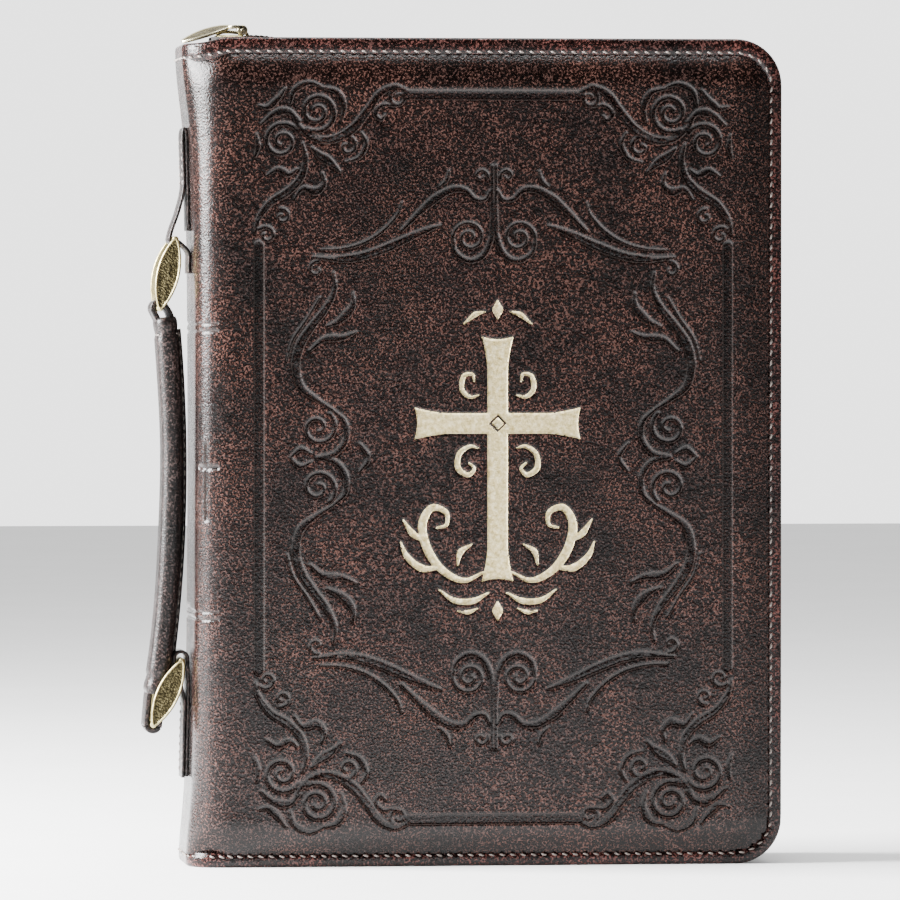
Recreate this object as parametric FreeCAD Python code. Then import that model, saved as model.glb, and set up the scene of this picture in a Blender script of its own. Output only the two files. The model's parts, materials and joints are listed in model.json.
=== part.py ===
"""A zipped Bible case that stands on its lower edge, with the Bible inside it.

Frame: +Z up, the front cover faces -Y and the spine faces -X. z = 0 is the surface that the case
stands on. The origin is the centre of the whole part's footprint, handle included.

Two lengths describe a place in the case. "across" runs from the spine's outer face towards the
zipped edge, and "inset" runs inwards from the covers' outer edge. The front cover is modelled at
-Y, and the back cover is its mirror image. All lengths are millimetres.
"""
import FreeCAD, Part
import math
import os

from FreeCAD import Vector

# The case, as sold for a 10 x 7 x 2 inch Bible
CASE_HEIGHT = 267.0
CASE_WIDTH = 192.0
CASE_DEPTH = 56.0
HANDLE_REACH = 13.56
CORNER_RADIUS = 15.0
SHOULDER_RADIUS = 14.0
SPINE_PINCH = 2.2
ACROSS_ORIGIN = (CASE_WIDTH - HANDLE_REACH) / 2

# Each cover turns about an upright line on its shoulder
HINGE_ACROSS = 8.0
HINGE_GAP = 0.3
HINGE_DEPTH = SHOULDER_RADIUS - CASE_DEPTH / 2 - math.sqrt(
    SHOULDER_RADIUS ** 2 - (SHOULDER_RADIUS - HINGE_ACROSS) ** 2)
COVER_START = HINGE_ACROSS + 0.15
SPINE_END = HINGE_ACROSS - HINGE_GAP

# Layers of a cover, as distances from the middle of the case, outside first
FACE = CASE_DEPTH / 2
FLANGE = 25.0
SKIN = 1.2
FOAM_BACK = 23.8
BOARD_BACK = 22.3
LINING_BACK = 21.5
BOOK_COVER_FRONT, BOOK_COVER_BACK = 21.3, 19.3
SLEEVE_FRONT, SLEEVE_BACK = 19.1, 18.3
PAGES_FACE = 17.0

# The seam and what is sewn into it, as insets
STITCH_INSET = 4.0
RIM = 1.0
RIM_BACK = 22.8
GUSSET = (1.4, 2.4)
GUSSET_EDGE = 10.0
TAPE = (2.4, 3.0)
TAPE_EDGES = (12.0, 0.8)
TEETH = (1.2, 3.3)
TEETH_EDGES = (3.0, 0.45)
TEETH_START = 5.0
STITCHES = (3.2, 3.8)
STITCH_HEIGHT = 0.25
GUSSET_SEAM = 4.6

# How much further in than the seam each inner layer ends
BOARD_MARGIN = 1.4
LINING_MARGIN = 0.7
SLEEVE = (6.0, 6.8)
SLEEVE_SHARE = 0.62
BOOK_CORNER = 8.0

# The Bible
BOOK_FOOT, BOOK_HEAD = 7.5, 259.5
BOOK_FORE_EDGE = 184.4
PAGES_FOOT, PAGES_HEAD = 11.0, 256.0
PAGES_START, PAGES_FORE_EDGE = 9.5, 180.5
SECTION_SPLIT = 8.5
LEAF_GAP = 0.1
MIDDLE_GAP = 0.3

# The spine's layers, as limits across, half widths and heights
SPINE_HEAD_STEP = 1.8
SPINE_BOARD = (3.5, 4.9)
SPINE_BOARD_HALF, SPINE_BOARD_HEIGHTS = 20.0, (4.0, 261.0)
SPINE_LINING = (4.9, 5.7)
SPINE_LINING_HALF, SPINE_LINING_HEIGHTS = 22.0, (3.4, 262.0)
SPINE_END_START = 1.5
SPINE_GUSSET_HALF, SPINE_GUSSET_THICKNESS = 23.0, 1.0
ZIP_TAB_HALF, ZIP_TAB_THICKNESS = 6.0, 0.7
SPINE_END_LEVELS = {"head": (263.4, 264.4), "foot": (2.0, 1.3)}
BOOK_SPINE = (6.1, 7.5)
PAGE_GLUE = (7.5, 9.1)
PAGE_GLUE_HALF = 16.8
BAND_HALF, BAND_HEIGHT = 16.5, 1.6
RIBBON = (12.0, 18.0)
RIBBON_HALF = 0.12
RIBBON_FOOT = 4.5
RIBBON_TUCK = (1.0, 3.0)

# The foil cross on the front cover
EMBLEM_CENTRE = (CASE_WIDTH / 2 + 3.0, CASE_HEIGHT * 0.49)
EMBLEM_BAR_HALF = 4.0
EMBLEM_ARM = 27.0
EMBLEM_UPRIGHT = (-42.0, 38.0)
EMBLEM_CROSSING = 12.0
FOIL = 0.12

# The zip's slider on the top run, and its pull
SLIDER_ACROSS = (9.6, 19.3)
SLIDER_HALF = 4.6
JAW = (263.2, 266.4)
RAIL, RAIL_WIDTH = 0.35, 1.2
FOOT_PLATE, TOP_PLATE = 1.3, 1.2
POST, POST_HALF = (0.6, 3.4), 0.35
LUG_RADIUS, LUG_WIDTH = 1.6, 2.0
PULL_PIVOT = (18.8, 270.0)
PULL_PIN_RADIUS = 0.6
PULL_EYE_RADIUS = 1.2
PULL_EYES = (1.2, 2.2)
PULL_BEND, PULL_TIP = (-13.5, -1.9), (-20.0, -3.1)
PULL_LEAF_CENTRE, PULL_LEAF_HALF = -11.6, 9.4
PULL_THICKNESS = 1.3
RUNNING_GAP = 0.06

# The handle, as (across, height) of its four pivots
STRAP_WIDTH = 15.0
STRAP_THICKNESS = 1.0
UPPER_STRAP = (238.5, 191.0, 216.0)
LOWER_STRAP = (28.0, 70.5, 50.0)
UPPER_ANCHOR = (-3.5, 202.2)
UPPER_GRIP = (-8.5, 179.9)
LOWER_GRIP = (-10.7, 45.3)
LOWER_ANCHOR = (-1.5, 65.8)
LINK_BAR_RADIUS = 1.0
LINK_INSIDE = 9.0
LINK_PLATE = 1.8
LINK_WIDTH = 7.4
LINK_TIP = 0.6
KNUCKLE_RADIUS = 1.2
GRIP_LINE = ((-6.4, 177.0), (-4.2, 117.0), (-9.6, 55.0))
GRIP_THICKNESS = 7.2
GRIP_WIDTH = 17.0
GRIP_ROUND_GAP = 0.7
CORE_THICKNESS, CORE_WIDTH = 1.8, 13.0
CORE_STEM = 2.4
LOOSE_LOOP = (0.5, 0.5)

parts = {}


def box(across, depth, height):
    """A block between two limits along each direction."""
    (u0, u1), (y0, y1), (z0, z1) = across, depth, height
    corner = Vector(u0 - ACROSS_ORIGIN, y0, z0)
    return Part.makeBox(u1 - u0, y1 - y0, z1 - z0, corner)


def place(across, depth, height):
    return Vector(across - ACROSS_ORIGIN, depth, height)


def cover_outline(inset, start, depth):
    """The face of a cover at one inset, open to the spine side at start."""
    right, top, foot = CASE_WIDTH - inset, CASE_HEIGHT - inset, inset
    radius = max(CORNER_RADIUS - inset, 1.0)
    slant = radius * (1 - math.sqrt(0.5))
    edges = [
        Part.makeLine(place(start, depth, foot), place(right - radius, depth, foot)),
        Part.Arc(place(right - radius, depth, foot), place(right - slant, depth, foot + slant),
                 place(right, depth, foot + radius)).toShape(),
        Part.makeLine(place(right, depth, foot + radius), place(right, depth, top - radius)),
        Part.Arc(place(right, depth, top - radius), place(right - slant, depth, top - slant),
                 place(right - radius, depth, top)).toShape(),
        Part.makeLine(place(right - radius, depth, top), place(start, depth, top)),
        Part.makeLine(place(start, depth, top), place(start, depth, foot)),
    ]
    return Part.Face(Part.Wire(edges))


def panel(inset, outer, inner, start=COVER_START):
    """A plate with a cover's outline. outer and inner are distances from the case's middle."""
    return cover_outline(inset, start, -outer).extrude(Vector(0, outer - inner, 0))


def frame_strip(insets, outer, inner, start=COVER_START):
    """A strip of even width that follows a cover's top, zipped edge and foot."""
    return panel(insets[0], outer, inner, start).cut(panel(insets[1], outer, inner, start - 1))


def envelope(offset):
    """The case's block with its two rounded shoulders, shrunk by an offset."""
    radius = SHOULDER_RADIUS - offset
    block = box((offset, CASE_WIDTH), (offset - FACE, FACE - offset), (0, CASE_HEIGHT))
    left = offset - ACROSS_ORIGIN
    uprights = [e for e in block.Edges
                if abs(e.Vertexes[0].X - left) < 1e-6 and abs(e.Vertexes[1].X - left) < 1e-6
                and abs(e.Vertexes[0].Y - e.Vertexes[1].Y) < 1e-6]
    return block.makeFillet(radius, uprights)


def outer_edges(solid, depth, start):
    """The edges of a panel's outer face, apart from the one on the spine side."""
    left = start - ACROSS_ORIGIN
    return [e for e in solid.Edges
            if all(abs(v.Y - depth) < 1e-6 for v in e.Vertexes)
            and not all(abs(v.X - left) < 1e-6 for v in e.Vertexes)]


def padded_block(inset, offset, start, back):
    """The raised padding with its rounded outer edge, fitted to the shoulder."""
    block = panel(inset, FACE - offset, back, start)
    rounded = block.makeFillet(FACE - offset - back - 0.3, outer_edges(block, offset - FACE, start))
    return rounded.common(envelope(offset))


def cover_skin():
    flange = panel(0, FLANGE, FLANGE - SKIN)
    rim = frame_strip((0, RIM), FLANGE - SKIN, RIM_BACK)
    dome = padded_block(STITCH_INSET, 0, COVER_START, FLANGE - SKIN)
    hollow = padded_block(STITCH_INSET + SKIN, SKIN, COVER_START - 1, FLANGE - SKIN)
    return flange.fuse([dome, rim]).cut(hollow).removeSplitter()


def cover_padding():
    return padded_block(STITCH_INSET + SKIN, SKIN, HINGE_ACROSS + 1, FOAM_BACK)


def cover_sleeve():
    """The pocket that holds the fore edge of the Bible's own cover."""
    start = CASE_WIDTH * SLEEVE_SHARE
    body = panel(SLEEVE[0], LINING_BACK, SLEEVE_BACK, start)
    return body.cut(panel(SLEEVE[1], LINING_BACK, SLEEVE_FRONT, start - 1))


def bible_cover():
    block = box((HINGE_ACROSS + HINGE_GAP, BOOK_FORE_EDGE),
                (-BOOK_COVER_FRONT, -BOOK_COVER_BACK), (BOOK_FOOT, BOOK_HEAD))
    right = BOOK_FORE_EDGE - ACROSS_ORIGIN
    corners = [e for e in block.Edges
               if all(abs(v.X - right) < 1e-6 for v in e.Vertexes)
               and abs(e.Vertexes[0].Z - e.Vertexes[1].Z) < 1e-6]
    return block.makeFillet(BOOK_CORNER, corners)


def cover_pieces(teeth_start):
    """Every piece of a cover, modelled at the front."""
    start = COVER_START + 0.35
    tape = frame_strip(TAPE, *TAPE_EDGES, start=start)
    teeth = frame_strip(TEETH, *TEETH_EDGES, start=start + TEETH_START)
    near_slider = box((0, teeth_start), (-FACE, FACE), (CASE_HEIGHT / 2, CASE_HEIGHT))
    gusset_wall = frame_strip(GUSSET, FLANGE - SKIN, GUSSET_EDGE, start)
    gusset_seam = frame_strip((GUSSET[1], GUSSET_SEAM), FLANGE - SKIN, RIM_BACK, start)
    return {
        "skin": cover_skin(),
        "padding": cover_padding(),
        "board": panel(STITCH_INSET + BOARD_MARGIN, FOAM_BACK, BOARD_BACK, HINGE_ACROSS + 1.5),
        "lining": panel(STITCH_INSET + LINING_MARGIN, BOARD_BACK, LINING_BACK, HINGE_ACROSS + 1),
        "sleeve": cover_sleeve(),
        "bible_cover": bible_cover(),
        "gusset": gusset_wall.fuse(gusset_seam).removeSplitter(),
        "zip_tape": tape,
        "zip_teeth": teeth.cut([near_slider, tape]),
        "seam_thread": frame_strip(STITCHES, FLANGE + STITCH_HEIGHT, FLANGE),
    }


def bar_shape(start, end, half, depth):
    """A band with round ends between two (across, height) points, depth wide along Y."""
    a, b = place(start[0], -depth / 2, start[1]), place(end[0], -depth / 2, end[1])
    along = (b - a).normalize()
    side = Vector(along.z, 0, -along.x) * half
    corners = [a + side, b + side, b - side, a - side]
    strip = Part.Face(Part.makePolygon(corners + corners[:1])).extrude(Vector(0, depth, 0))
    ends = [Part.makeCylinder(half, depth, p, Vector(0, 1, 0)) for p in (a, b)]
    return strip.fuse(ends)


def band(points, thickness, width):
    """A strap bent along a list of (across, height) points."""
    pieces = [bar_shape(a, b, thickness / 2, width) for a, b in zip(points, points[1:])]
    return pieces[0].fuse(pieces[1:]) if len(pieces) > 1 else pieces[0]


def pin(centre, radius, width):
    """A round bar along Y, centred in the depth."""
    return Part.makeCylinder(radius, width, place(centre[0], -width / 2, centre[1]), Vector(0, 1, 0))


def spine_surface(height):
    """How far the pinched spine lies in at a height."""
    share = (height - CASE_HEIGHT / 2) / (CASE_HEIGHT / 2)
    return SPINE_PINCH * (1 - share * share)


def spine_skin():
    """The outer cover of the spine, pulled in a little at mid height."""
    sagitta, half = SPINE_PINCH, CASE_HEIGHT / 2
    radius = (half * half + sagitta * sagitta) / (2 * sagitta)
    centre = (sagitta - radius, half)
    piece = box((-5, SPINE_END), (-FACE, FACE), (0, CASE_HEIGHT - SPINE_HEAD_STEP))
    outer = envelope(0).common(piece).cut(pin(centre, radius, 4 * FACE))
    inner = envelope(SKIN).common(piece).cut(pin(centre, radius + SKIN, 4 * FACE))
    return outer.cut(inner)


def anchor_strap(bar, clearance, heights):
    """A doubled strap sewn flat on the spine, with one layer led round a link's bar.

    clearance is the loop's room round the bar: across it, and up and down as well. heights are
    the strap's fold, its loose end beside the bar, and where the outer layer leaves the spine.
    """
    fold, end, join = heights
    thick = STRAP_THICKNESS
    inner = LINK_BAR_RADIUS + clearance[0]
    outer = inner + thick
    lie = [(spine_surface(z) - thick / 2 - 0.05, z) for z in (fold, (fold + end) / 2, end)]
    second = [(lie[0][0] - thick, fold), (spine_surface(join) - 1.6 * thick, join)]
    lead = [second[1], (bar[0] - outer + thick / 2, bar[1])]
    back = [(bar[0] + outer - thick / 2, bar[1]), (spine_surface(end) - thick, (bar[1] + end) / 2)]
    eye = [(bar[0], bar[1] - clearance[1]), (bar[0], bar[1] + clearance[1] + 0.01)]
    strap = band(lie, thick, STRAP_WIDTH).fuse(
        [band(second, thick, STRAP_WIDTH), band(lead, thick, STRAP_WIDTH),
         band(back, thick, STRAP_WIDTH), band(eye, 2 * outer, STRAP_WIDTH)])
    return strap.cut(band(eye, 2 * inner, STRAP_WIDTH + 2)).removeSplitter()


def link(first, second):
    """A cast ring: two pointed-oval side plates joined by a bar at each end."""
    length = math.dist(first, second)
    half = length / 2 + LINK_TIP
    bulge = (half * half + (LINK_WIDTH / 2) ** 2) / LINK_WIDTH
    middle = ((first[0] + second[0]) / 2, (first[1] + second[1]) / 2)
    along = ((second[0] - first[0]) / length, (second[1] - first[1]) / length)
    side = (-along[1], along[0])
    shift = bulge - LINK_WIDTH / 2
    width = 2 * (LINK_INSIDE + LINK_PLATE)
    arcs = [pin((middle[0] + s * shift * side[0], middle[1] + s * shift * side[1]), bulge, width)
            for s in (-1, 1)]
    plates = arcs[0].common(arcs[1])
    knuckles = [pin(p, KNUCKLE_RADIUS, width) for p in (first, second)]
    gap = Part.makeBox(400, 2 * LINK_INSIDE, 400, Vector(-200, -LINK_INSIDE, -20))
    bars = [pin(p, LINK_BAR_RADIUS, width) for p in (first, second)]
    return plates.fuse(knuckles).cut(gap).fuse(bars).removeSplitter()


def grip_arc(offset):
    """The grip's curved middle line, moved towards the spine by an offset."""
    top, middle, foot = [place(u + offset, -GRIP_WIDTH / 2, z) for u, z in GRIP_LINE]
    return Part.Arc(top, middle, foot).toShape()


def grip_solid(half, width):
    """The curved handle body, with long edges rounded."""
    arcs = [grip_arc(-half), grip_arc(half)]
    ends = [[a.Vertexes[0].Point, a.Vertexes[-1].Point] for a in arcs]
    closing = [Part.makeLine(ends[0][i], ends[1][i]) for i in (0, 1)]
    face = Part.Face(Part.Wire(Part.__sortEdges__([*arcs, *closing])))
    body = face.extrude(Vector(0, width, 0))
    long_edges = [e for e in body.Edges if e.Curve.TypeId == "Part::GeomCircle"]
    return body.makeFillet(half - GRIP_ROUND_GAP, long_edges)


def core_strap():
    """The strap inside the grip, which loops round a link's bar at each end."""
    width = CORE_WIDTH
    loop = LINK_BAR_RADIUS + RUNNING_GAP
    top, middle, foot = GRIP_LINE
    outer = loop + CORE_THICKNESS
    leave_top = (UPPER_GRIP[0] + 0.6, UPPER_GRIP[1] - 1.5)
    leave_foot = (LOWER_GRIP[0] + 0.6, LOWER_GRIP[1] + 1.5)
    inside = band([leave_top, (top[0] + 0.2, top[1] - 10), middle, (foot[0] + 0.2, foot[1] + 10),
                   leave_foot], CORE_STEM, width)
    rings = [pin(p, outer, width) for p in (UPPER_GRIP, LOWER_GRIP)]
    bores = [pin(p, loop, width + 2) for p in (UPPER_GRIP, LOWER_GRIP)]
    return inside.fuse(rings).cut(bores).removeSplitter()


def zip_slider():
    """The slider's two plates with shallow rails, its post and the lug for the pull."""
    across, depth = SLIDER_ACROSS, (-SLIDER_HALF, SLIDER_HALF)
    foot, top = (JAW[0] - FOOT_PLATE, JAW[0]), (JAW[1], JAW[1] + TOP_PLATE)
    plates = [box(across, depth, foot), box(across, depth, top)]
    rails = [box(across, side, height)
             for side in ((-SLIDER_HALF, RAIL_WIDTH - SLIDER_HALF), (SLIDER_HALF - RAIL_WIDTH, SLIDER_HALF))
             for height in ((JAW[0], JAW[0] + RAIL), (JAW[1] - RAIL, JAW[1]))]
    post = box((across[0] + POST[0], across[0] + POST[1]), (-POST_HALF, POST_HALF), JAW)
    boss = pin(PULL_PIVOT, LUG_RADIUS, LUG_WIDTH)
    neck = box((PULL_PIVOT[0] - LUG_RADIUS, PULL_PIVOT[0] + 0.5), (-LUG_WIDTH / 2, LUG_WIDTH / 2),
               (JAW[1] + 1.0, PULL_PIVOT[1]))
    bore = pin(PULL_PIVOT, PULL_PIN_RADIUS + RUNNING_GAP, 2 * LUG_WIDTH)
    return plates[0].fuse([plates[1], post, boss, neck, *rails]).cut(bore).removeSplitter()


def zip_pull():
    """A pointed-oval plate on a fork that holds the pin through the slider's lug."""
    pivot = PULL_PIVOT
    knee, tip = [(pivot[0] + u, pivot[1] + z) for u, z in (PULL_BEND, PULL_TIP)]
    plate = band([(pivot[0] - 2.4, pivot[1] + 0.1), knee, tip], PULL_THICKNESS, LINK_WIDTH)
    centre, half = pivot[0] + PULL_LEAF_CENTRE, PULL_LEAF_HALF
    bulge = (half * half + (LINK_WIDTH / 2) ** 2) / LINK_WIDTH
    shift = bulge - LINK_WIDTH / 2
    leaf = [Part.makeCylinder(bulge, 40, place(centre, s * shift, 250)) for s in (-1, 1)]
    plate = plate.common(leaf[0].common(leaf[1]))
    half_thick = PULL_THICKNESS / 2
    inside, outside = PULL_EYES
    arms = [box((pivot[0] - 4.0, pivot[0]), side, (pivot[1] - half_thick, pivot[1] + half_thick))
            for side in ((-outside, -inside), (inside, outside))]
    eyes = pin(pivot, PULL_EYE_RADIUS, 2 * outside).cut(pin(pivot, PULL_EYE_RADIUS + 1, 2 * inside))
    return plate.fuse([*arms, eyes, pin(pivot, PULL_PIN_RADIUS, 2 * outside)]).removeSplitter()


def emblem():
    """A plain gold cross laid on the front cover's face."""
    middle, centre = EMBLEM_CENTRE
    half, crossing = EMBLEM_BAR_HALF, centre + EMBLEM_CROSSING
    depth = (-FACE - FOIL, -FACE)
    upright = box((middle - half, middle + half), depth,
                  (centre + EMBLEM_UPRIGHT[0], centre + EMBLEM_UPRIGHT[1]))
    arms = box((middle - EMBLEM_ARM, middle + EMBLEM_ARM), depth, (crossing - half, crossing + half))
    return upright.fuse(arms).removeSplitter()


def about_middle(half):
    """A depth range centred in the case."""
    return -half, half


def build_spine():
    parts["spine_skin"] = spine_skin()
    parts["spine_board"] = box(SPINE_BOARD, about_middle(SPINE_BOARD_HALF), SPINE_BOARD_HEIGHTS)
    parts["spine_lining"] = box(SPINE_LINING, about_middle(SPINE_LINING_HALF), SPINE_LINING_HEIGHTS)
    inside = envelope(SKIN + 0.05)
    across = (SPINE_END_START, SPINE_END)
    for end, (level, tab) in SPINE_END_LEVELS.items():
        strip = box(across, about_middle(SPINE_GUSSET_HALF), (level, level + SPINE_GUSSET_THICKNESS))
        parts[f"spine_{end}_gusset"] = strip.common(inside)
        parts[f"zip_{end}_tab"] = box(across, about_middle(ZIP_TAB_HALF), (tab, tab + ZIP_TAB_THICKNESS))
    parts["upper_anchor_strap"] = anchor_strap(UPPER_ANCHOR, (RUNNING_GAP, 0.0), UPPER_STRAP)
    parts["lower_anchor_strap"] = anchor_strap(LOWER_ANCHOR, LOOSE_LOOP, LOWER_STRAP)


def build_book_spine():
    """The Bible's own spine, the glued back of its leaves, the bands and the ribbon."""
    parts["bible_spine"] = box(BOOK_SPINE, about_middle(BOOK_COVER_FRONT), (BOOK_FOOT, BOOK_HEAD))
    parts["page_spine_glue"] = box(PAGE_GLUE, about_middle(PAGE_GLUE_HALF), (PAGES_FOOT, PAGES_HEAD))
    parts["head_band"] = box(PAGE_GLUE, about_middle(BAND_HALF), (PAGES_HEAD, PAGES_HEAD + BAND_HEIGHT))
    parts["tail_band"] = box(PAGE_GLUE, about_middle(BAND_HALF), (PAGES_FOOT - BAND_HEIGHT, PAGES_FOOT))
    top, tuck = PAGES_HEAD - RIBBON_TUCK[0], PAGES_HEAD - RIBBON_TUCK[1]
    hanging = box(RIBBON, about_middle(RIBBON_HALF), (RIBBON_FOOT, top))
    tucked = box((PAGE_GLUE[1], RIBBON[1]), about_middle(RIBBON_HALF), (tuck, top))
    parts["ribbon_marker"] = hanging.fuse(tucked).removeSplitter()


def build_covers():
    middle_plane = (Vector(0, 0, 0), Vector(0, 1, 0))
    for name, piece in cover_pieces(SLIDER_ACROSS[1] + 0.9).items():
        parts["front_" + name] = piece
    for name, piece in cover_pieces(SLIDER_ACROSS[0]).items():
        parts["back_" + name] = piece.mirror(*middle_plane)
    parts["front_emblem"] = emblem()


def build_pages():
    limits = {"outer": (PAGES_FACE, SECTION_SPLIT + LEAF_GAP),
              "inner": (SECTION_SPLIT - LEAF_GAP, MIDDLE_GAP)}
    for name, (outer, inner) in limits.items():
        for cover, depth in (("front", (-outer, -inner)), ("back", (inner, outer))):
            parts[f"{cover}_{name}_pages"] = box(
                (PAGES_START, PAGES_FORE_EDGE), depth, (PAGES_FOOT, PAGES_HEAD))


def build_handle():
    core = core_strap()
    parts["handle_core_strap"] = core
    rings = [pin(p, LINK_BAR_RADIUS + RUNNING_GAP + 1.9, GRIP_WIDTH + 2)
             for p in (UPPER_GRIP, LOWER_GRIP)]
    parts["handle_grip_cover"] = grip_solid(GRIP_THICKNESS / 2, GRIP_WIDTH).cut([core, *rings])
    parts["upper_link"] = link(UPPER_ANCHOR, UPPER_GRIP)
    parts["lower_link"] = link(LOWER_GRIP, LOWER_ANCHOR)


def main():
    build_spine()
    build_book_spine()
    build_covers()
    build_pages()
    build_handle()
    parts["zip_slider"] = zip_slider()
    parts["zip_pull"] = zip_pull()
    os.makedirs("parts", exist_ok=True)
    for name, shape in parts.items():
        shape.exportStep(f"parts/{name}.step")
        if not shape.isValid() or len(shape.Solids) != 1:
            print(name, "solids:", len(shape.Solids), "valid:", shape.isValid())
    bounds = Part.makeCompound(list(parts.values())).BoundBox
    print(len(parts), "parts", [round(v, 2) for v in (bounds.XMin, bounds.XMax, bounds.YMin,
                                                      bounds.YMax, bounds.ZMin, bounds.ZMax)])


main()
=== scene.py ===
"""Looks of the zipped Bible case: embossed padded covers, spine, zip, handle, pages and studio.

Places come from the frame. "across" runs from the spine's outer face to the zipped edge, and
"girth" is the same along the wrapped leatherette, so that it goes on round the shoulder to the
middle of the spine. A flat point is (across, height) or (girth, height). Lengths are in
millimetres; meshes are made in metres.
"""
import json
import math
import bmesh
import bpy
import numpy as np
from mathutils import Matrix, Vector


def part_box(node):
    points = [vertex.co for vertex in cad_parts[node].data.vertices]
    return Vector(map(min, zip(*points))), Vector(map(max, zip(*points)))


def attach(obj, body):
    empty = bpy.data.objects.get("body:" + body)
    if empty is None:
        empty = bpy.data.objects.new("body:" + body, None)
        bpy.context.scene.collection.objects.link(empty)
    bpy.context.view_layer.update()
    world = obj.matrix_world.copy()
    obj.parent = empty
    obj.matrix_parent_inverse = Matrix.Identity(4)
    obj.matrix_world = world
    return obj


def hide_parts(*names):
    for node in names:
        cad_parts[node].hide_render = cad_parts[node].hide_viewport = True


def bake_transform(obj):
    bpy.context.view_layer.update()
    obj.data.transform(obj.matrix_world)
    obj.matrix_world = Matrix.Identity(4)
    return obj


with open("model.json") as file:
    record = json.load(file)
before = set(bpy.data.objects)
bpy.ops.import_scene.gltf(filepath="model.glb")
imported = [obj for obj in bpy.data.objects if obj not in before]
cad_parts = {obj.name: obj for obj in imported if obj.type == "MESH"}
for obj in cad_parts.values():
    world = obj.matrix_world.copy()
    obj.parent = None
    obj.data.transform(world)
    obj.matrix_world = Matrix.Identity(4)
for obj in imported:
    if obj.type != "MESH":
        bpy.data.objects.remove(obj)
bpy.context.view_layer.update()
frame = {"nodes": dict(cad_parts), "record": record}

RANDOM = np.random.default_rng(7)
SIDES = ((-1, "front"), (1, "back"))
NEAR_FAR = ((-1, "near"), (1, "far"))


def limits(node):
    """A node's low and high corner in millimetres."""
    low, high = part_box(node)
    return np.array(low) * 1000, np.array(high) * 1000


SKIN_LOW, SKIN_HIGH = limits("front_skin")
LEFT = limits("spine_skin")[0][0]
WIDTH = SKIN_HIGH[0] - LEFT
HEIGHT = SKIN_HIGH[2]
FACE = -SKIN_LOW[1]
FLANGE = 25.0
SHOULDER = 14.0
CORNER = 15.0
SEAM = 4.0
HEAD_SHARE = 1.3
PINCH = 2.2
HINGE = 8.0
HEAD_FLARE, FOOT_FLARE = (2.0, 228, 34), (0.9, 26, -24)
PADDING_RUN = 11.0
SPINE_MIDDLE = SHOULDER - SHOULDER * math.pi / 2 - SHOULDER
PANEL_CENTRE = (WIDTH / 2 + 1.9, HEIGHT / 2 - 1.6)
WHOLE_TURN = 2 * math.pi


def smooth(t):
    t = np.clip(t, 0, 1)
    return t * t * (3 - 2 * t)


def grey(level):
    return (level, level, level)


# ---- points and paths

def upright(flat, depth=0.0):
    """Flat vectors with a depth put between their two parts."""
    return np.insert(np.asarray(flat, float), 1, depth, axis=1)


def placed(flat, depth):
    """Flat points at a depth, in the frame's own places."""
    return upright(flat, depth) + (LEFT, 0, 0)


def circle(turn):
    return np.stack([np.cos(turn), np.sin(turn)], 1)


def arc_points(centre, radius, start, end, count=6):
    return centre + radius * circle(np.radians(np.linspace(start, end, count)))


def shrunk(outline, share):
    """An outline drawn in about its centre."""
    centre = outline.mean(axis=0)
    return centre + (outline - centre) * share


def unit(vectors):
    return vectors / np.linalg.norm(vectors, axis=1)[:, None]


def catmull(points, steps=8):
    """A smooth curve through the points."""
    p = np.asarray(points, float)
    p = np.vstack([2 * p[0] - p[1], p, 2 * p[-1] - p[-2]])
    t = np.linspace(0, 1, steps, endpoint=False)[:, None]
    out = [0.5 * (2 * b + (c - a) * t + (2 * a - 5 * b + 4 * c - d) * t ** 2
                  + (3 * b - a - 3 * c + d) * t ** 3) for a, b, c, d in zip(p, p[1:], p[2:], p[3:])]
    return np.vstack([*out, p[-2:-1]])


def path_frames(path):
    """A flat path's tangents and normals."""
    tangent = unit(np.gradient(np.asarray(path, float), axis=0))
    return tangent, tangent[:, ::-1] * (-1, 1)


def lengths(path):
    """The length along a path up to each of its points."""
    return np.r_[0, np.cumsum(np.hypot(*np.diff(path, axis=0).T))]


def sample(at, path, *others):
    """A path, and others that go with its points, at lengths along it."""
    path = np.asarray(path, float)
    return [np.stack([np.interp(at, lengths(path), v[:, k]) for k in (0, 1)], 1) for v in (path, *others)]


def spaced(path, first, pitch, margin):
    """Places, tangents and normals at even steps of a path."""
    return sample(np.arange(first, lengths(path)[-1] - margin, pitch), path, *path_frames(path))


# ---- meshes

def mesh_object(name, points, faces, material, rounded=True):
    """A mesh from points in millimetres."""
    mesh = bpy.data.meshes.new(name)
    mesh.from_pydata((np.asarray(points, float) / 1000).tolist(), [], [list(map(int, f)) for f in faces])
    mesh.validate()
    mesh.update()
    if rounded:
        mesh.shade_smooth()
    obj = bpy.data.objects.new(name, mesh)
    bpy.context.scene.collection.objects.link(obj)
    mesh.materials.append(material)
    return obj


def tidy_mesh(obj):
    """Drops loose points and turns the faces outwards."""
    work = bmesh.new()
    work.from_mesh(obj.data)
    loose = [v for v in work.verts if not v.link_faces]
    bmesh.ops.delete(work, geom=loose, context="VERTS")
    bmesh.ops.dissolve_degenerate(work, dist=1e-6, edges=work.edges)
    bmesh.ops.recalc_face_normals(work, faces=work.faces)
    work.to_mesh(obj.data)
    work.free()
    return obj


def grid_faces(rows, columns, closed=False, start=0):
    """Quads between rows of points. closed joins each row's end to its start."""
    index = start + np.arange(rows * columns).reshape(rows, columns)
    nxt = np.roll(index, -1, axis=1) if closed else index[:, 1:]
    here = index if closed else index[:, :-1]
    return np.stack([here[:-1], nxt[:-1], nxt[1:], here[1:]], axis=-1).reshape(-1, 4)


def tube_faces(rows, columns, start=0):
    """Quads round a row of closed rings, and a face over each end."""
    last = start + (rows - 1) * columns
    return [*grid_faces(rows, columns, True, start), range(start, start + columns)[::-1],
            range(last, last + columns)]


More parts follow.
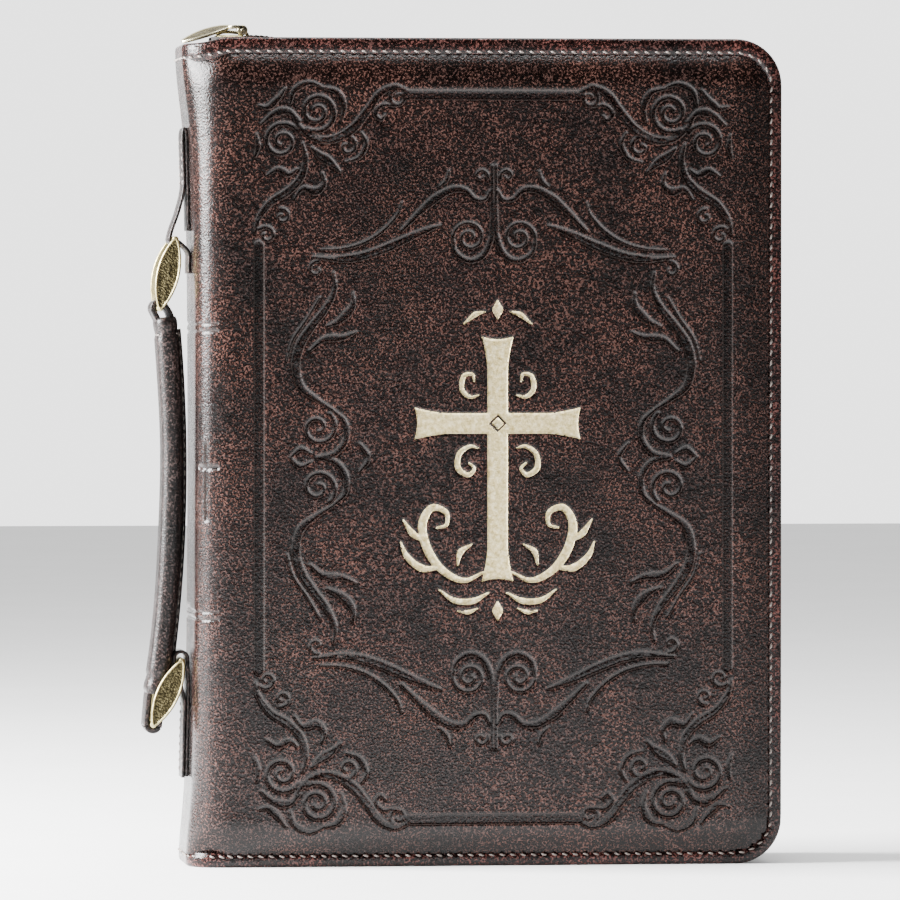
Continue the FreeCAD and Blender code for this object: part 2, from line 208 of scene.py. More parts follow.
def loft(name, rings, material, tidied=True):
    """A closed skin over equal rings of points."""
    rings = np.asarray(rings, float)
    obj = mesh_object(name, rings.reshape(-1, 3), tube_faces(*rings.shape[:2]), material)
    return tidy_mesh(obj) if tidied else obj


def turned(name, centre, levels, material, sides=24):
    """A round piece; levels lists (depth, radius)."""
    ring = circle(np.linspace(0, WHOLE_TURN, sides, endpoint=False))
    return loft(name, [placed(centre + radius * ring, depth) for depth, radius in levels], material)


def rounded_box(half_n, half_y, corner, steps=4):
    """A rounded rectangle, half_n across a path and half_y along the depth."""
    turn = np.linspace(0, math.pi / 2, steps)
    quarters = enumerate(((1, 1), (-1, 1), (-1, -1), (1, -1)))
    return np.vstack([(n * (half_n - corner), y * (half_y - corner)) + corner * circle(turn + k * math.pi / 2)
                      for k, (n, y) in quarters])


def sweep(name, path, section, material, scale=None):
    """A solid that follows a flat path. scale changes the section along it."""
    scale = np.ones((len(path), 2)) if scale is None else scale
    rings = [placed(p + section[:, :1] * s[0] * n, section[:, 1] * s[1])
             for p, n, s in zip(path, path_frames(path)[1], scale)]
    return loft(name, rings, material)


# ---- materials

class Nodes:
    """A short way to build the node tree of a material or the world."""

    def __init__(self, owner, coords="Object"):
        owner.use_nodes = True
        self.owner, self.tree = owner, owner.node_tree
        self.coords = self.add("TexCoord").outputs[coords]

    def feed(self, socket, value):
        """Links a socket to an output, or sets it."""
        if hasattr(value, "links"):
            self.tree.links.new(value, socket)
        else:
            socket.default_value = (*value, 1) if socket.type == "RGBA" else value

    def add(self, kind, inputs=(), **values):
        node = self.tree.nodes.new("ShaderNode" + kind)
        for key, value in values.items():
            setattr(node, key, value)
        for key, value in dict(inputs).items():
            self.feed(node.inputs[key], value)
        return node

    def noise(self, scale, detail=2.0, rough=0.5, coords=None):
        inputs = {"Vector": coords or self.coords, "Scale": scale, "Detail": detail, "Roughness": rough}
        return self.add("TexNoise", inputs).outputs["Fac"]

    def ramp(self, source, *stops):
        """Colours, or levels of grey, by place."""
        node = self.add("ValToRGB", {"Fac": source})
        elements = node.color_ramp.elements
        while len(elements) < len(stops):
            elements.new(0.5)
        for element, (position, colour) in zip(elements, stops):
            element.position = position
            element.color = (*(colour if isinstance(colour, tuple) else grey(colour)), 1)
        return node.outputs["Color"]

    def mix(self, factor, first, second, blend="MIX"):
        inputs = {0: factor, 6: first, 7: second}
        return self.add("Mix", inputs, data_type="RGBA", blend_type=blend).outputs[2]

    def times(self, first, second):
        return self.mix(1.0, first, second, "MULTIPLY")

    def math(self, operation, first, second):
        return self.add("Math", {0: first, 1: second}, operation=operation).outputs[0]

    def bump(self, height, distance, strength=1.0, before=None):
        inputs = {"Strength": strength, "Distance": distance, "Height": height}
        if before is not None:
            inputs["Normal"] = before
        return self.add("Bump", inputs).outputs["Normal"]

    def finish(self, colour, roughness, normal, **others):
        shader = self.tree.nodes["Principled BSDF"]
        inputs = {"Base_Color": colour, "Roughness": roughness, "Normal": normal, **others}
        for key, value in inputs.items():
            self.feed(shader.inputs[key.replace("_", " ")], value)
        return self.owner


LOOKS, SLOT_OF = {}, {}
SHARED_SLOT = {"edge_leatherette": "cover_leatherette", "strap_leatherette": "cover_leatherette",
               "bright_brass": "antique_brass"}


def material_nodes(name):
    """Starts a look and notes which slot it belongs to."""
    material = LOOKS[name] = bpy.data.materials.new(name)
    SLOT_OF[material.name] = SHARED_SLOT.get(name, name)
    return Nodes(material)


LEATHER_GRAIN = 0.00008


def leather(name, dark, light, grain=1300.0, rough=(0.11, 0.18), recess=False):
    """Glossy leatherette: pebbled grain, reddish clouds and a fine crackle whose bright specks are painted
    glints; with recess, darker stamped hollows and a painted highlight on their walls.
    """
    n = material_nodes(name)
    clouds = n.noise(38.0, 5.0, 0.6)
    inputs = {"Vector": n.coords, "Scale": grain, "Smoothness": 0.35}
    pebbles = n.add("TexVoronoi", inputs, feature="SMOOTH_F1").outputs["Distance"]
    fine = n.noise(grain * 1.15, 2.0, 0.6)
    wide = n.noise(210.0, 3.0)
    colour = n.ramp(clouds, (0.36, dark), (0.66, light))
    # speckle: the fine grain's own dark and light tone, and bright specks, up to five times the colour, that
    # are painted glints of light on the grain
    speckle = n.ramp(fine, (0.42, 0.05), (0.53, 0.5), (0.62, (4.4, 4.9, 5.0)))
    colour = n.mix(0.95, colour, n.times(colour, speckle))
    roughness = n.ramp(wide, (0.3, rough[0]), (0.7, rough[1]))
    matt = n.ramp(fine, (0.38, 0.5), (0.58, 0.0))
    roughness = n.mix(0.3, roughness, n.mix(1.0, roughness, matt, "ADD"))
    if recess:
        inside = n.add("Attribute", attribute_name="recess").outputs["Fac"]
        # wall is a mask on the stamped walls; the lighter colour mixed in there is a painted highlight,
        # standing in for the glints along the strokes' edges
        wall = n.math("MULTIPLY", inside, n.math("SUBTRACT", 1.0, inside))
        wall = n.math("MULTIPLY", n.math("MULTIPLY", wall, wall), 12.0)
        colour = n.mix(inside, colour, n.times(colour, (0.45, 0.47, 0.48)))
        # painted highlight on the stamped walls
        colour = n.mix(wall, colour, (0.03, 0.024, 0.022))
        roughness = n.mix(wall, roughness, grey(0.16))
    normal = n.bump(wide, 0.0002, 0.5)
    normal = n.bump(pebbles, LEATHER_GRAIN * 0.6, 1.0, normal)
    normal = n.bump(fine, LEATHER_GRAIN, 1.0, normal)
    return n.finish(colour, roughness, normal, Specular_IOR_Level=0.24)


def cloth(name, dark, light, threads=2600.0, rough=0.85):
    """Woven cloth: two crossed sets of threads."""
    n = material_nodes(name)
    inputs = {"Vector": n.coords, "Scale": threads, "Distortion": 1.2}
    across, up, deep = [n.add("TexWave", inputs, bands_direction=d).outputs["Fac"] for d in "XZY"]
    weave = n.math("MAXIMUM", n.math("MULTIPLY", across, up), deep)
    colour = n.ramp(n.noise(60.0, 4.0), (0.3, dark), (0.7, light))
    colour = n.mix(0.5, colour, n.mix(weave, n.times(colour, grey(0.4)), colour))
    return n.finish(colour, rough, n.bump(weave, 0.00012, 0.7), Sheen_Weight=0.05)


def metal(name, dark, light, rough=(0.28, 0.5), pebble=0.0, scale=420.0):
    """Plated metal with tarnish, and with cast grains pebble deep."""
    n = material_nodes(name)
    tarnish = n.noise(scale, 6.0, 0.65)
    colour = n.ramp(tarnish, (0.32, dark), (0.62, light))
    roughness = n.ramp(tarnish, (0.3, rough[1]), (0.7, rough[0]))
    normal = n.bump(tarnish, 0.00004, 0.4)
    if pebble:
        grains = n.add("TexVoronoi", {"Vector": n.coords, "Scale": 1500.0}).outputs["Distance"]
        normal = n.bump(grains, pebble, 1.0, normal)
        shade = n.ramp(grains, (0.1, (1.25, 1.2, 1.1)), (0.6, (0.35, 0.33, 0.3)))
        colour = n.mix(0.8, colour, n.times(colour, shade))
    return n.finish(colour, roughness, normal, Metallic=1.0)


def foil():
    """Pale gold foil, mottled where the grain shows through."""
    n = material_nodes("gold_foil")
    mottle = n.noise(650.0, 5.0, 0.7)
    grain = n.noise(2300.0, 2.0)
    stops = (0.30, (0.36, 0.27, 0.10)), (0.50, (0.70, 0.58, 0.30)), (0.68, (0.93, 0.84, 0.56))
    colour = n.ramp(mottle, *stops)
    roughness = n.ramp(mottle, (0.3, 0.6), (0.7, 0.36))
    normal = n.bump(grain, 0.0001, 0.6, n.bump(mottle, 0.00025, 0.8))
    return n.finish(colour, roughness, normal, Metallic=0.85)


def paper():
    """The edges of thin leaves, as fine lines along the block."""
    n = material_nodes("page_paper")
    fine = n.add("Mapping", {"Vector": n.coords, "Scale": (6.0, 4200.0, 6.0)}).outputs[0]
    leaves = n.noise(1.0, 3.0, 0.5, fine)
    clouds = n.noise(30.0, 3.0)
    colour = n.ramp(leaves, (0.3, (0.42, 0.36, 0.25)), (0.7, (0.86, 0.82, 0.72)))
    colour = n.mix(0.25, colour, n.ramp(clouds, (0.3, (0.8, 0.74, 0.6)), (0.7, (0.95, 0.92, 0.85))))
    return n.finish(colour, 0.8, n.bump(leaves, 0.0001, 0.6))


def speckled(name, dark, light, scale, rough, height=0.0001):
    """A plain material with its own grain."""
    n = material_nodes(name)
    noise = n.noise(scale, 5.0, 0.7)
    return n.finish(n.ramp(noise, (0.3, dark), (0.7, light)), rough, n.bump(noise, height, 0.6))


COVER = leather("cover_leatherette", (0.0065, 0.0036, 0.0032), (0.021, 0.0090, 0.0070), recess=True)
EDGE = leather("edge_leatherette", (0.009, 0.005, 0.0045), (0.034, 0.011, 0.009))
STRAP = leather("strap_leatherette", (0.007, 0.005, 0.0046), (0.017, 0.010, 0.009), rough=(0.22, 0.34))
BOOK = leather("book_leather", (0.008, 0.007, 0.007), (0.02, 0.016, 0.015), 900.0)
LINING = cloth("lining_cloth", (0.022, 0.014, 0.012), (0.04, 0.027, 0.023))
TAPE = cloth("zip_tape_cloth", (0.009, 0.006, 0.005), (0.022, 0.014, 0.012), 2100.0)
RIBBON = cloth("ribbon_satin", (0.14, 0.012, 0.018), (0.28, 0.03, 0.035), 3600.0, 0.45)
cloth("band_cotton", (0.30, 0.04, 0.035), (0.62, 0.50, 0.38), 1200.0)
BRASS = metal("antique_brass", (0.20, 0.165, 0.075), (0.52, 0.45, 0.23))
BRIGHT = metal("bright_brass", (0.50, 0.44, 0.27), (0.86, 0.79, 0.56), (0.18, 0.32))
GROUND = metal("pebbled_brass", (0.045, 0.038, 0.020), (0.15, 0.13, 0.07), (0.4, 0.6), 0.00030)
TEETH = metal("zip_teeth_metal", (0.035, 0.026, 0.022), (0.20, 0.16, 0.12), (0.25, 0.45), scale=900.0)
FOIL = foil()
PAPER = paper()
THREAD = speckled("sewing_thread", (0.06, 0.045, 0.040), (0.34, 0.29, 0.26), 2600.0, 0.3, 0.0002)
speckled("stiff_board", (0.22, 0.20, 0.17), (0.42, 0.39, 0.34), 400.0, 0.9)
speckled("padding_foam", (0.45, 0.44, 0.40), (0.75, 0.73, 0.68), 700.0, 0.95)


def dress_cad():
    """Gives the CAD nodes the looks of their slots."""
    for part in frame["record"]["subparts"]:
        for place in frame["nodes"][part["node"]].material_slots:
            place.material = LOOKS[part["material_slot"]]


def made_of(obj, body=None, replaces=()):
    """Says what a piece rides on and what it stands for."""
    if body:
        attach(obj, body)
    if replaces:
        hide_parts(*replaces)
    return obj


# ---- the stamped ornament

def with_widths(line, widths):
    """A line with widths spread evenly along it."""
    return line, np.interp(np.linspace(0, 1, len(line)), np.linspace(0, 1, len(widths)), widths)


def stroke(points, *widths):
    """A smooth line through points."""
    return with_widths(catmull(points), widths)


def spiral(centre, radii, degrees, *widths):
    """A curl from one radius and angle to another."""
    count = max(8, int(abs(degrees[1] - degrees[0]) / 14))
    turn = np.radians(np.linspace(*degrees, count))
    return with_widths(centre + np.linspace(*radii, count)[:, None] * circle(turn), widths)


# A quarter's scrolls, roses and leaves, about the panel's centre.
CORNER_FLOURISH = [
    spiral((31, 115.6), (3.4, 1), (140, -330), 1.4, 0.8),
    stroke([(29, 118), (32, 119.4), (37, 117), (41, 111.5), (46, 105.5), (52, 102.3), (58, 102.6),
           (63, 106.5), (65.2, 111)], 0.8, 2.2, 2.8, 2.2, 0.9),
    stroke([(32, 113), (36, 113.4), (38.4, 110.8), (36.8, 108.6), (35.4, 110)], 0.7, 1.6, 0.7),
    spiral((57.3, 111.2), (6.6, 1.2), (-60, -690), 1.5, 1.3, 0.9),
    stroke([(49.5, 108), (48.6, 113), (51, 117.6), (56, 119)], 0.6, 2.2, 0.7),
    stroke([(56, 119.4), (60, 120.4), (64.6, 118), (66, 113.6)], 0.7, 2, 0.8),
    spiral((68.6, 101.6), (6.2, 1.2), (150, -420), 1.4, 1.2, 0.8),
    stroke([(62.6, 108), (66.4, 111.2), (71, 110.6), (75.4, 107)], 0.6, 2.6, 0.6),
    stroke([(67.4, 118.6), (69.8, 115.4), (73, 112.6), (76.2, 113)], 0.6, 2.2, 0.6),
    stroke([(76.8, 104), (76.4, 100), (77.4, 96.2)], 0.6, 1.8, 0.6),
    spiral((47.6, 100), (3.6, 0.9), (60, 420), 1.3, 0.8),
    stroke([(43, 104.6), (41.4, 101), (43.6, 96.6), (48, 95)], 0.6, 1.6, 0.6),
    stroke([(49.6, 91.6), (52.6, 94.6), (56.6, 97.2), (59, 99.6)], 0.5, 3, 0.8),
    stroke([(62, 101), (61, 96), (62.4, 90), (66.8, 85.4), (72.2, 82), (76, 77), (77.2, 72.2)],
           0.8, 2, 2.6, 2, 0.9),
    stroke([(55.6, 91.6), (55, 88), (57.6, 85.6), (62, 86.4), (64.6, 83)], 0.6, 2.6, 0.6),
    stroke([(63.6, 92.8), (66.4, 91), (70, 92.6), (73.4, 90.6)], 0.6, 2.2, 0.6),
    spiral((68.6, 77.4), (2.6, 0.7), (80, 440), 1.1, 0.7),
    spiral((73.6, 71.4), (3, 0.9), (40, 400), 1.2, 0.8),
]

# A quarter of the inner scrolls: the arms above the centre and the scroll at its side.
INNER_FRAME = [
    stroke([(0.6, 94), (0.6, 86), (0.6, 78), (1, 70.5), (3.6, 65), (8, 63.3), (12.4, 66), (13.4, 71)],
           0.8, 1.2, 1.8, 1.6, 0.9), spiral((8, 70.8), (5.4, 1), (0, 560), 1, 0.8),
    stroke([(1.2, 86), (3, 83), (6.2, 83.2), (9.4, 86), (13.6, 86.2), (18.6, 83.6), (24, 79), (30, 73)],
           0.7, 1.3, 2, 2.6, 1), spiral((4.2, 90.6), (2.3, 0.6), (200, -170), 1, 0.6),
    stroke([(14.6, 92.4), (15.4, 89.4), (17.8, 87)], 0.5, 1.4, 0.5),
    stroke([(17.6, 74.6), (20.6, 73.6), (26, 71.4), (34, 67.8), (42, 64.9), (50, 63.8), (58.6, 64.4)],
           0.7, 2, 2.8, 2.6, 0.7),
    stroke([(30, 82), (31.4, 78), (36, 73), (42, 69.2), (49, 67.2), (56, 66.8)], 0.5, 1.1, 1, 0.5),
    spiral((57.4, 60.4), (2.8, 0.7), (100, -200), 1.1, 0.6),
    stroke([(52, 59.5), (51.6, 54), (54.4, 48), (58.8, 42.4), (62.6, 36.6), (64.2, 30), (62.6, 23),
           (57.6, 18.8), (52.2, 15.4)], 0.8, 2, 3, 2.4, 0.8),
    stroke([(56.4, 51.6), (60.4, 44.8), (65, 38), (67, 31)], 0.5, 0.9, 0.5),
    stroke([(45.6, 53), (46, 48.4), (49.8, 44.2), (54, 42.2)], 0.6, 2.8, 0.8),
    stroke([(44.6, 40.4), (49, 38.6), (55, 38), (59.6, 34.4)], 0.6, 2.4, 0.8),
    stroke([(52, 15.2), (48.4, 11.6), (48, 6), (51.4, 1.4), (57, 0)], 0.8, 1.8, 1.8, 1.4),
    spiral((57, 9.6), (6, 1.1), (130, 620), 1.3, 0.9),
    stroke([(59, 1.2), (62.6, 2.8), (66, 0)], 0.6, 1.6, 0.6),
    stroke([(43.6, 4.6), (41.2, 1.6), (40.6, 0)], 0.6, 1.4, 1),
]

# The straight lines between the corner flourishes.
BORDER_LINES = [
    stroke([(0, 116.6), (14, 116.6), (28.2, 116.6)], 3.2, 3.2),
    stroke([(76, 0), (76, 34), (76, 68.2)], 3.2, 3.2),
]

# Raised lines left standing in the widest strokes.
FRONT_VEINS = [
    stroke([(37, 116), (44, 107.6), (53, 102.6), (60, 104)], 0.4, 0.6, 0.4),
    stroke([(52, 94.2), (56, 96.8), (58, 98.6)], 0.4, 0.5, 0.4),
    stroke([(62, 91), (66.6, 85.6), (72, 82.2), (76, 77)], 0.4, 0.6, 0.4),
    stroke([(26, 71.4), (34, 67.8), (42, 65), (52, 64)], 0.4, 0.6, 0.4),
    stroke([(53.8, 49), (58.8, 42.4), (62.6, 36.6), (64, 30)], 0.4, 0.6, 0.4),
]


def spine_marks():
    """Double lines across the spine and a small cross, in girth and height."""
    marks = []
    for z in (HEIGHT * 0.299, HEIGHT * 0.299 + 2.4, HEIGHT * 0.646, HEIGHT * 0.646 + 2.4):
        marks.append(stroke([(SPINE_MIDDLE - 3, z), (-6, z), (8.6, z)], 0.6, 0.6, 0.5))
    middle, low = 4.2, HEIGHT * 0.42
    bar = low + 16.5
    marks.append(stroke([(middle, low), (middle, low + 12), (middle, low + 24)], 1.5, 1.5))
    marks.append(stroke([(middle - 4, bar), (middle, bar), (middle + 4, bar)], 1.5, 1.5))
    return marks


def distance_to(strokes, points, reach=2.5):
    """Distance outside the strokes, up to reach; negative inside."""
    best = np.full(len(points), reach)
    for line, width in strokes:
        margin = reach + width.max() / 2
        low, high = line.min(axis=0) - margin, line.max(axis=0) + margin
        near = np.flatnonzero(((points > low) & (points < high)).all(axis=1))
        p = points[near]
        for a, b, wa, wb in zip(line, line[1:], width, width[1:]):
            step = b - a
            t = np.clip(((p - a) @ step) / max(step @ step, 1e-9), 0, 1)
            gap = np.hypot(*(p - a - t[:, None] * step).T) - (wa + (wb - wa) * t) / 2
            best[near] = np.minimum(best[near], gap)
    return best


FRONT_STROKES = CORNER_FLOURISH + INNER_FRAME + BORDER_LINES
SPINE_STROKES = spine_marks()
SPINE_LINES = SPINE_STROKES[:4]
BACK_LINE = (80.0, 117.5, 12.0)


def folded(points):
    """The points about the panel's centre, all brought into one quarter."""
    return np.abs(points - PANEL_CENTRE)


def emblem_arm(points, direction, length):
    """Distance outside one arm of the cross, which widens towards its end."""
    ahead = points @ np.array(direction)
    aside = np.abs(points @ np.array([-direction[1], direction[0]]))
    half = 3.3 + 1.9 * np.clip((ahead - length + 11) / 11, 0, 1) ** 1.6
    hollow = length + 0.9 * (aside / 5.2) ** 2 - 0.9
    return np.maximum(np.maximum(aside - half, ahead - hollow), -ahead)


# Curls round the cross, a small leafy spray below it and a bud above, for the right half.
EMBLEM_TRIM = [
    stroke([(6.2, 4), (9, 4.6), (12.4, 2.2), (12.8, -2.4), (9.6, -4.6), (7.6, -2.6), (9.2, -0.8)],
           0.5, 1.5, 1.9, 1.3, 0.7),
    stroke([(6.2, 21), (9.2, 20.6), (11.6, 23), (11, 27.2), (8.2, 27.8), (7.6, 25.6)],
           0.5, 1.4, 1.7, 1.1, 0.6),
    stroke([(4.6, -36), (11, -38.6), (18, -35.2), (22.8, -28.4), (24.4, -20.6), (21.4, -15.2),
           (16.8, -16.6), (16.6, -20.6), (19.6, -21.6)], 0.7, 2, 2.8, 2.8, 2, 1.3, 0.8),
    stroke([(18.6, -34.4), (24.6, -34.6), (29.4, -30.8), (31.4, -26.2)], 0.8, 2.4, 1.9, 0.5),
    stroke([(23.6, -26), (27.6, -23.4), (30.6, -19)], 0.8, 2.2, 0.5),
    stroke([(13, -33.6), (12, -29.4), (8.4, -27)], 0.6, 2, 0.5),
    stroke([(0, -45.4), (0, -48.4), (0, -51.4)], 0.4, 3.4, 0.4),
    stroke([(3, -42.6), (8, -45.2), (14, -45), (19, -41.6)], 0.6, 2, 1.8, 0.5),
    stroke([(6.4, -47.6), (9.6, -48.8), (13, -48.4)], 0.4, 1.5, 0.4),
    stroke([(0, 45.6), (0, 48.6), (0, 51.6)], 0.4, 3.4, 0.4),
    stroke([(4, 48), (7.4, 47), (11, 44)], 0.5, 1.7, 0.5),
]


EMBLEM_CENTRE = np.array([WIDTH / 2 + 3.0, HEIGHT * 0.49])
EMBLEM_ARMS = (((1, 0), 27.0), ((0, 1), 28.0), ((0, -1), 51.0))


def emblem_distance(points):
    """Distance outside the gold emblem on the front cover."""
    q = points - EMBLEM_CENTRE
    q[:, 0] = np.abs(q[:, 0])
    crossing = q - (0, 12.0)
    arms = [emblem_arm(crossing, direction, length) for direction, length in EMBLEM_ARMS]
    gem = np.abs(crossing).sum(axis=1) - 2.4
    cross = np.maximum(np.minimum.reduce(arms), -(np.abs(gem) - 0.35))
    return np.minimum(cross, distance_to(EMBLEM_TRIM, q))


def front_distance(points):
    ornament = np.minimum(distance_to(FRONT_STROKES, folded(points)), distance_to(SPINE_STROKES, points))
    return np.minimum(ornament, emblem_distance(points))


def box_distance(q, radius):
    """Distance outside a rounded corner, whose centre is the points' zero."""
    return np.hypot(*np.maximum(q, 0).T) + np.minimum(q.max(axis=1), 0) - radius


def back_distance(points):
    """A plain line round the back cover with rounded corners, and the spine's lines."""
    half_x, half_z, radius = BACK_LINE
    outside = box_distance(folded(points) - (half_x - radius, half_z - radius), radius)
    return np.minimum(np.abs(outside) - 0.6, distance_to(SPINE_LINES, points))


STAMP_DEPTH = 0.45
STAMP_WALL = 0.36


def stamp(distance):
    """How much of the full depth a point is pressed in."""
    return smooth(0.5 - distance / STAMP_WALL)


# ---- the padded wraps

def seam_inset(points):
    """How far inside the cover's seam a point of girth and height lies."""
    top, radius = HEIGHT - SEAM * HEAD_SHARE, CORNER - SEAM
    half, middle = (top - SEAM) / 2, (top + SEAM) / 2
    q = np.stack([points[:, 0] - (WIDTH - SEAM - radius), np.abs(points[:, 1] - middle) - (half - radius)], 1)
    return -box_distance(q, radius)


def wrap_surface(points, sunk, side):
    """Points of girth and height on the case's outside, sunk below it."""
    girth, height = points[:, 0], points[:, 1]
    turn = np.clip((SHOULDER - girth) / SHOULDER, 0, math.pi / 2)
    radius = SHOULDER - sunk
    across = np.maximum(girth, SHOULDER) - radius * np.sin(turn)
    past = np.maximum(SHOULDER - SHOULDER * math.pi / 2 - girth, 0)
    depth = FACE - SHOULDER + radius * np.cos(turn) - past
    share = (height - HEIGHT / 2) / (HEIGHT / 2)
    pinch = PINCH * np.clip(1 - share ** 2, 0, 1)
    for flare, start, run in (HEAD_FLARE, FOOT_FLARE):
        pinch = pinch - flare * smooth((height - start) / run)
    return np.stack([across + pinch * smooth((6 - girth) / 14) + LEFT, side * depth, height], axis=1)


def padding_fall(inset):
    """How much lower the padding is near the seam."""
    rise = np.clip(inset / PADDING_RUN, 0, 1)
    return (FACE - FLANGE + 0.35) * (1 - rise) ** 2.4


def halved_cells(distance, low, counts, size, levels):
    """Square cells of whole-number places and spans, halved where they cross an edge."""
    unit_cells = 2 ** levels
    cells = np.stack(np.meshgrid(*map(np.arange, counts), indexing="ij"), -1).reshape(-1, 2) * unit_cells
    done = []
    for level in range(levels):
        span = unit_cells >> level
        centres = low + (cells + span / 2) * (size / unit_cells)
        cut = np.abs(distance(centres)) < 0.71 * size / 2 ** level + 0.16
        done.append((cells[~cut], span))
        half = span // 2
        cells = (cells[cut][:, None] + np.array([(0, 0), (half, 0), (0, half), (half, half)])).reshape(-1, 2)
    return [*done, (cells, 1)]


def cell_mesh(distance, low, high, size, levels):
    """Points and faces of such cells. A larger cell takes in its neighbours' corners."""
    counts = np.ceil((high - low) / size).astype(int)
    done = halved_cells(distance, low, counts, size, levels)
    present = np.zeros(counts * 2 ** levels + 1, bool)
    for cells, span in done:
        for dx, dy in ((0, 0), (span, 0), (0, span), (span, span)):
            present[cells[:, 0] + dx, cells[:, 1] + dy] = True
    index = np.full(present.shape, -1)
    places = np.argwhere(present)
    index[present] = np.arange(len(places))
    faces = []
    for cells, span in done:
        steps = [(k, 0) for k in range(span)] + [(span, k) for k in range(span)]
        steps += [(span - k, span) for k in range(span)] + [(0, span - k) for k in range(span)]
        rings = index[tuple((cells[:, None] + np.array(steps)).transpose(2, 0, 1))]
        faces += [[i for i in ring if i >= 0] for ring in rings.tolist()]
    return low + places * (size / 2 ** levels), faces


def gradient(distance, points, step):
    here = distance(points)
    return np.stack([distance(points + d) - here for d in ((step, 0), (0, step))], 1) / step


def sway(points):
    """Slight waves in the padding, how far they lie below the flat face."""
    waves = np.sin(points[:, 0] / 19 + 1.3) * np.sin(points[:, 1] / 27 + 0.4)
    return (waves * 0.12 + 0.12) * smooth(seam_inset(points) / 20)


def padded_wrap(name, side, distance, ridges, levels):
    """The leatherette over one cover's padding, the shoulder and half the spine."""
    low = np.array([SPINE_MIDDLE, SEAM - 0.8])
    high = np.array([WIDTH - SEAM + 0.8, HEIGHT - SEAM + 0.8])
    girth = high[0] - low[0]
    points, faces = cell_mesh(distance, low, high, girth / math.ceil(girth / 1.7), levels)
    inset = seam_inset(points)
    keep = inset > -0.9
    outside = (inset < 0) & keep
    for _ in range(2):
        points[outside] -= (seam_inset(points)[:, None] * gradient(seam_inset, points, 1e-3))[outside]
    pressed = stamp(distance(points))
    sunk = padding_fall(np.maximum(seam_inset(points), 0)) * smooth((points[:, 0] + 2) / 12 + 0.35)
    sunk += pressed * STAMP_DEPTH
    if ridges:
        sunk -= pressed * 0.55 * STAMP_DEPTH * stamp(distance_to(ridges, folded(points)))
    surface = wrap_surface(points, sunk + sway(points), side)
    obj = mesh_object(name, surface, [f for f in faces if keep[f].all()], COVER)
    obj.data.attributes.new("recess", "FLOAT", "POINT").data.foreach_set("value", pressed.astype(np.float32))
    return tidy_mesh(obj)


def rim_path(inset, step=2.0, start=SPINE_MIDDLE, head_share=1.0):
    """A cover's edge from the spine's head to its foot. head_share widens its inset at the head."""
    top, radius = HEIGHT - inset * head_share, max(CORNER - inset, 0.5)
    run = np.arange(start, WIDTH - CORNER, step)
    turn = circle(np.linspace(math.pi / 2, 0, 13)[:-1])
    bend = (WIDTH - CORNER, HEIGHT - CORNER) + turn * (radius, CORNER - inset * head_share)
    down = (WIDTH - CORNER, CORNER) + turn[::-1] * (radius, -radius)
    edge = [(WIDTH - inset, z) for z in np.arange(HEIGHT - CORNER, CORNER, -step)]
    return np.vstack([[(x, top) for x in run], bend, edge, down, [(x, inset) for x in run[::-1]]])


def seam_drop(path, depth):
    """A path by the seam and how deep it is sunk, lower where it meets the spine's ends."""
    spine_end = smooth((14 - path[:, 0]) / 15)
    drop = np.where(path[:, 1] > HEIGHT / 2, 1.9, 0.0) * spine_end
    return path - drop[:, None] * (0, 1), FACE - depth - 2.9 * spine_end


FLANGE_PROFILE = ((SEAM + 0.6, 24.3), (SEAM, 24.55), (SEAM - 0.5, 24.95), (SEAM - 1.2, 25.06), (1.6, 25.06),
                  (0.8, 25.0), (0.3, 24.75), (0.0, 24.3), (0.0, 23.5), (0.25, 23.0), (0.8, 22.8), (1.4, 22.8))


def flange(name, side):
    """The sewn edge outside the seam, rolled over at its rim."""
    rows = [wrap_surface(*seam_drop(rim_path(inset, head_share=HEAD_SHARE), depth), side)
            for inset, depth in FLANGE_PROFILE]
    return tidy_mesh(mesh_object(name, np.vstack(rows), grid_faces(len(rows), len(rows[0])), EDGE))


def hang_on_hinge(obj, side):
    """Works out two points on its cover's hinge line, which are not used, and bakes the wrap's placement into
    its mesh.
    """
    depth = side * (FACE - SHOULDER + math.sqrt(SHOULDER ** 2 - (SHOULDER - HINGE) ** 2))
    near, far = placed([(HINGE + 5, HEIGHT / 2), (HINGE - 5, HEIGHT / 2)], depth) / 1000
    tuple(near)
    tuple(far)
    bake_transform(obj)


def stitches(name, places, directions, normals, length, radius):
    """Many short round-ended stitches as one piece."""
    rows, columns = 5, 6
    t = np.linspace(-1, 1, rows)[:, None, None]
    swell = radius * np.sqrt(np.clip(1 - (t * 0.97) ** 4, 0.02, 1))
    ring = circle(np.linspace(0, WHOLE_TURN, columns, endpoint=False))
    points, faces = [], []
    for spot, along, out in zip(places, directions, normals):
        faces += tube_faces(rows, columns, len(points) * rows * columns)
        around = ring @ np.array([np.cross(along, out), out])
        points.append(spot + t * along * length / 2 + swell * around - t ** 2 * out * radius * 0.9)
    return mesh_object(name, np.reshape(points, (-1, 3)), faces, THREAD)


SEAM_PITCH = 3.4


def seam_stitches(name, side):
    """The row of stitches along a cover's seam, each at a slight slant."""
    path = rim_path(SEAM - 0.5, 0.5, head_share=HEAD_SHARE)
    at = np.arange(SEAM_PITCH, lengths(path)[-1] - SEAM_PITCH / 2, SEAM_PITCH)
    flat, ahead = sample(at, path)[0], sample(at + 0.8, path)[0]
    slant = (ahead - flat) / 0.8
    slant = slant + 0.28 * slant[:, ::-1] * (1, -1)
    flat, sunk = seam_drop(flat, 25.15)
    here = wrap_surface(flat, sunk, side)
    along = unit(wrap_surface(flat + slant * 0.4, sunk, side) - here)
    out = unit(wrap_surface(flat, sunk - 1.0, side) - here)
    return stitches(name, here, along, out, SEAM_PITCH * 0.56, 0.34)


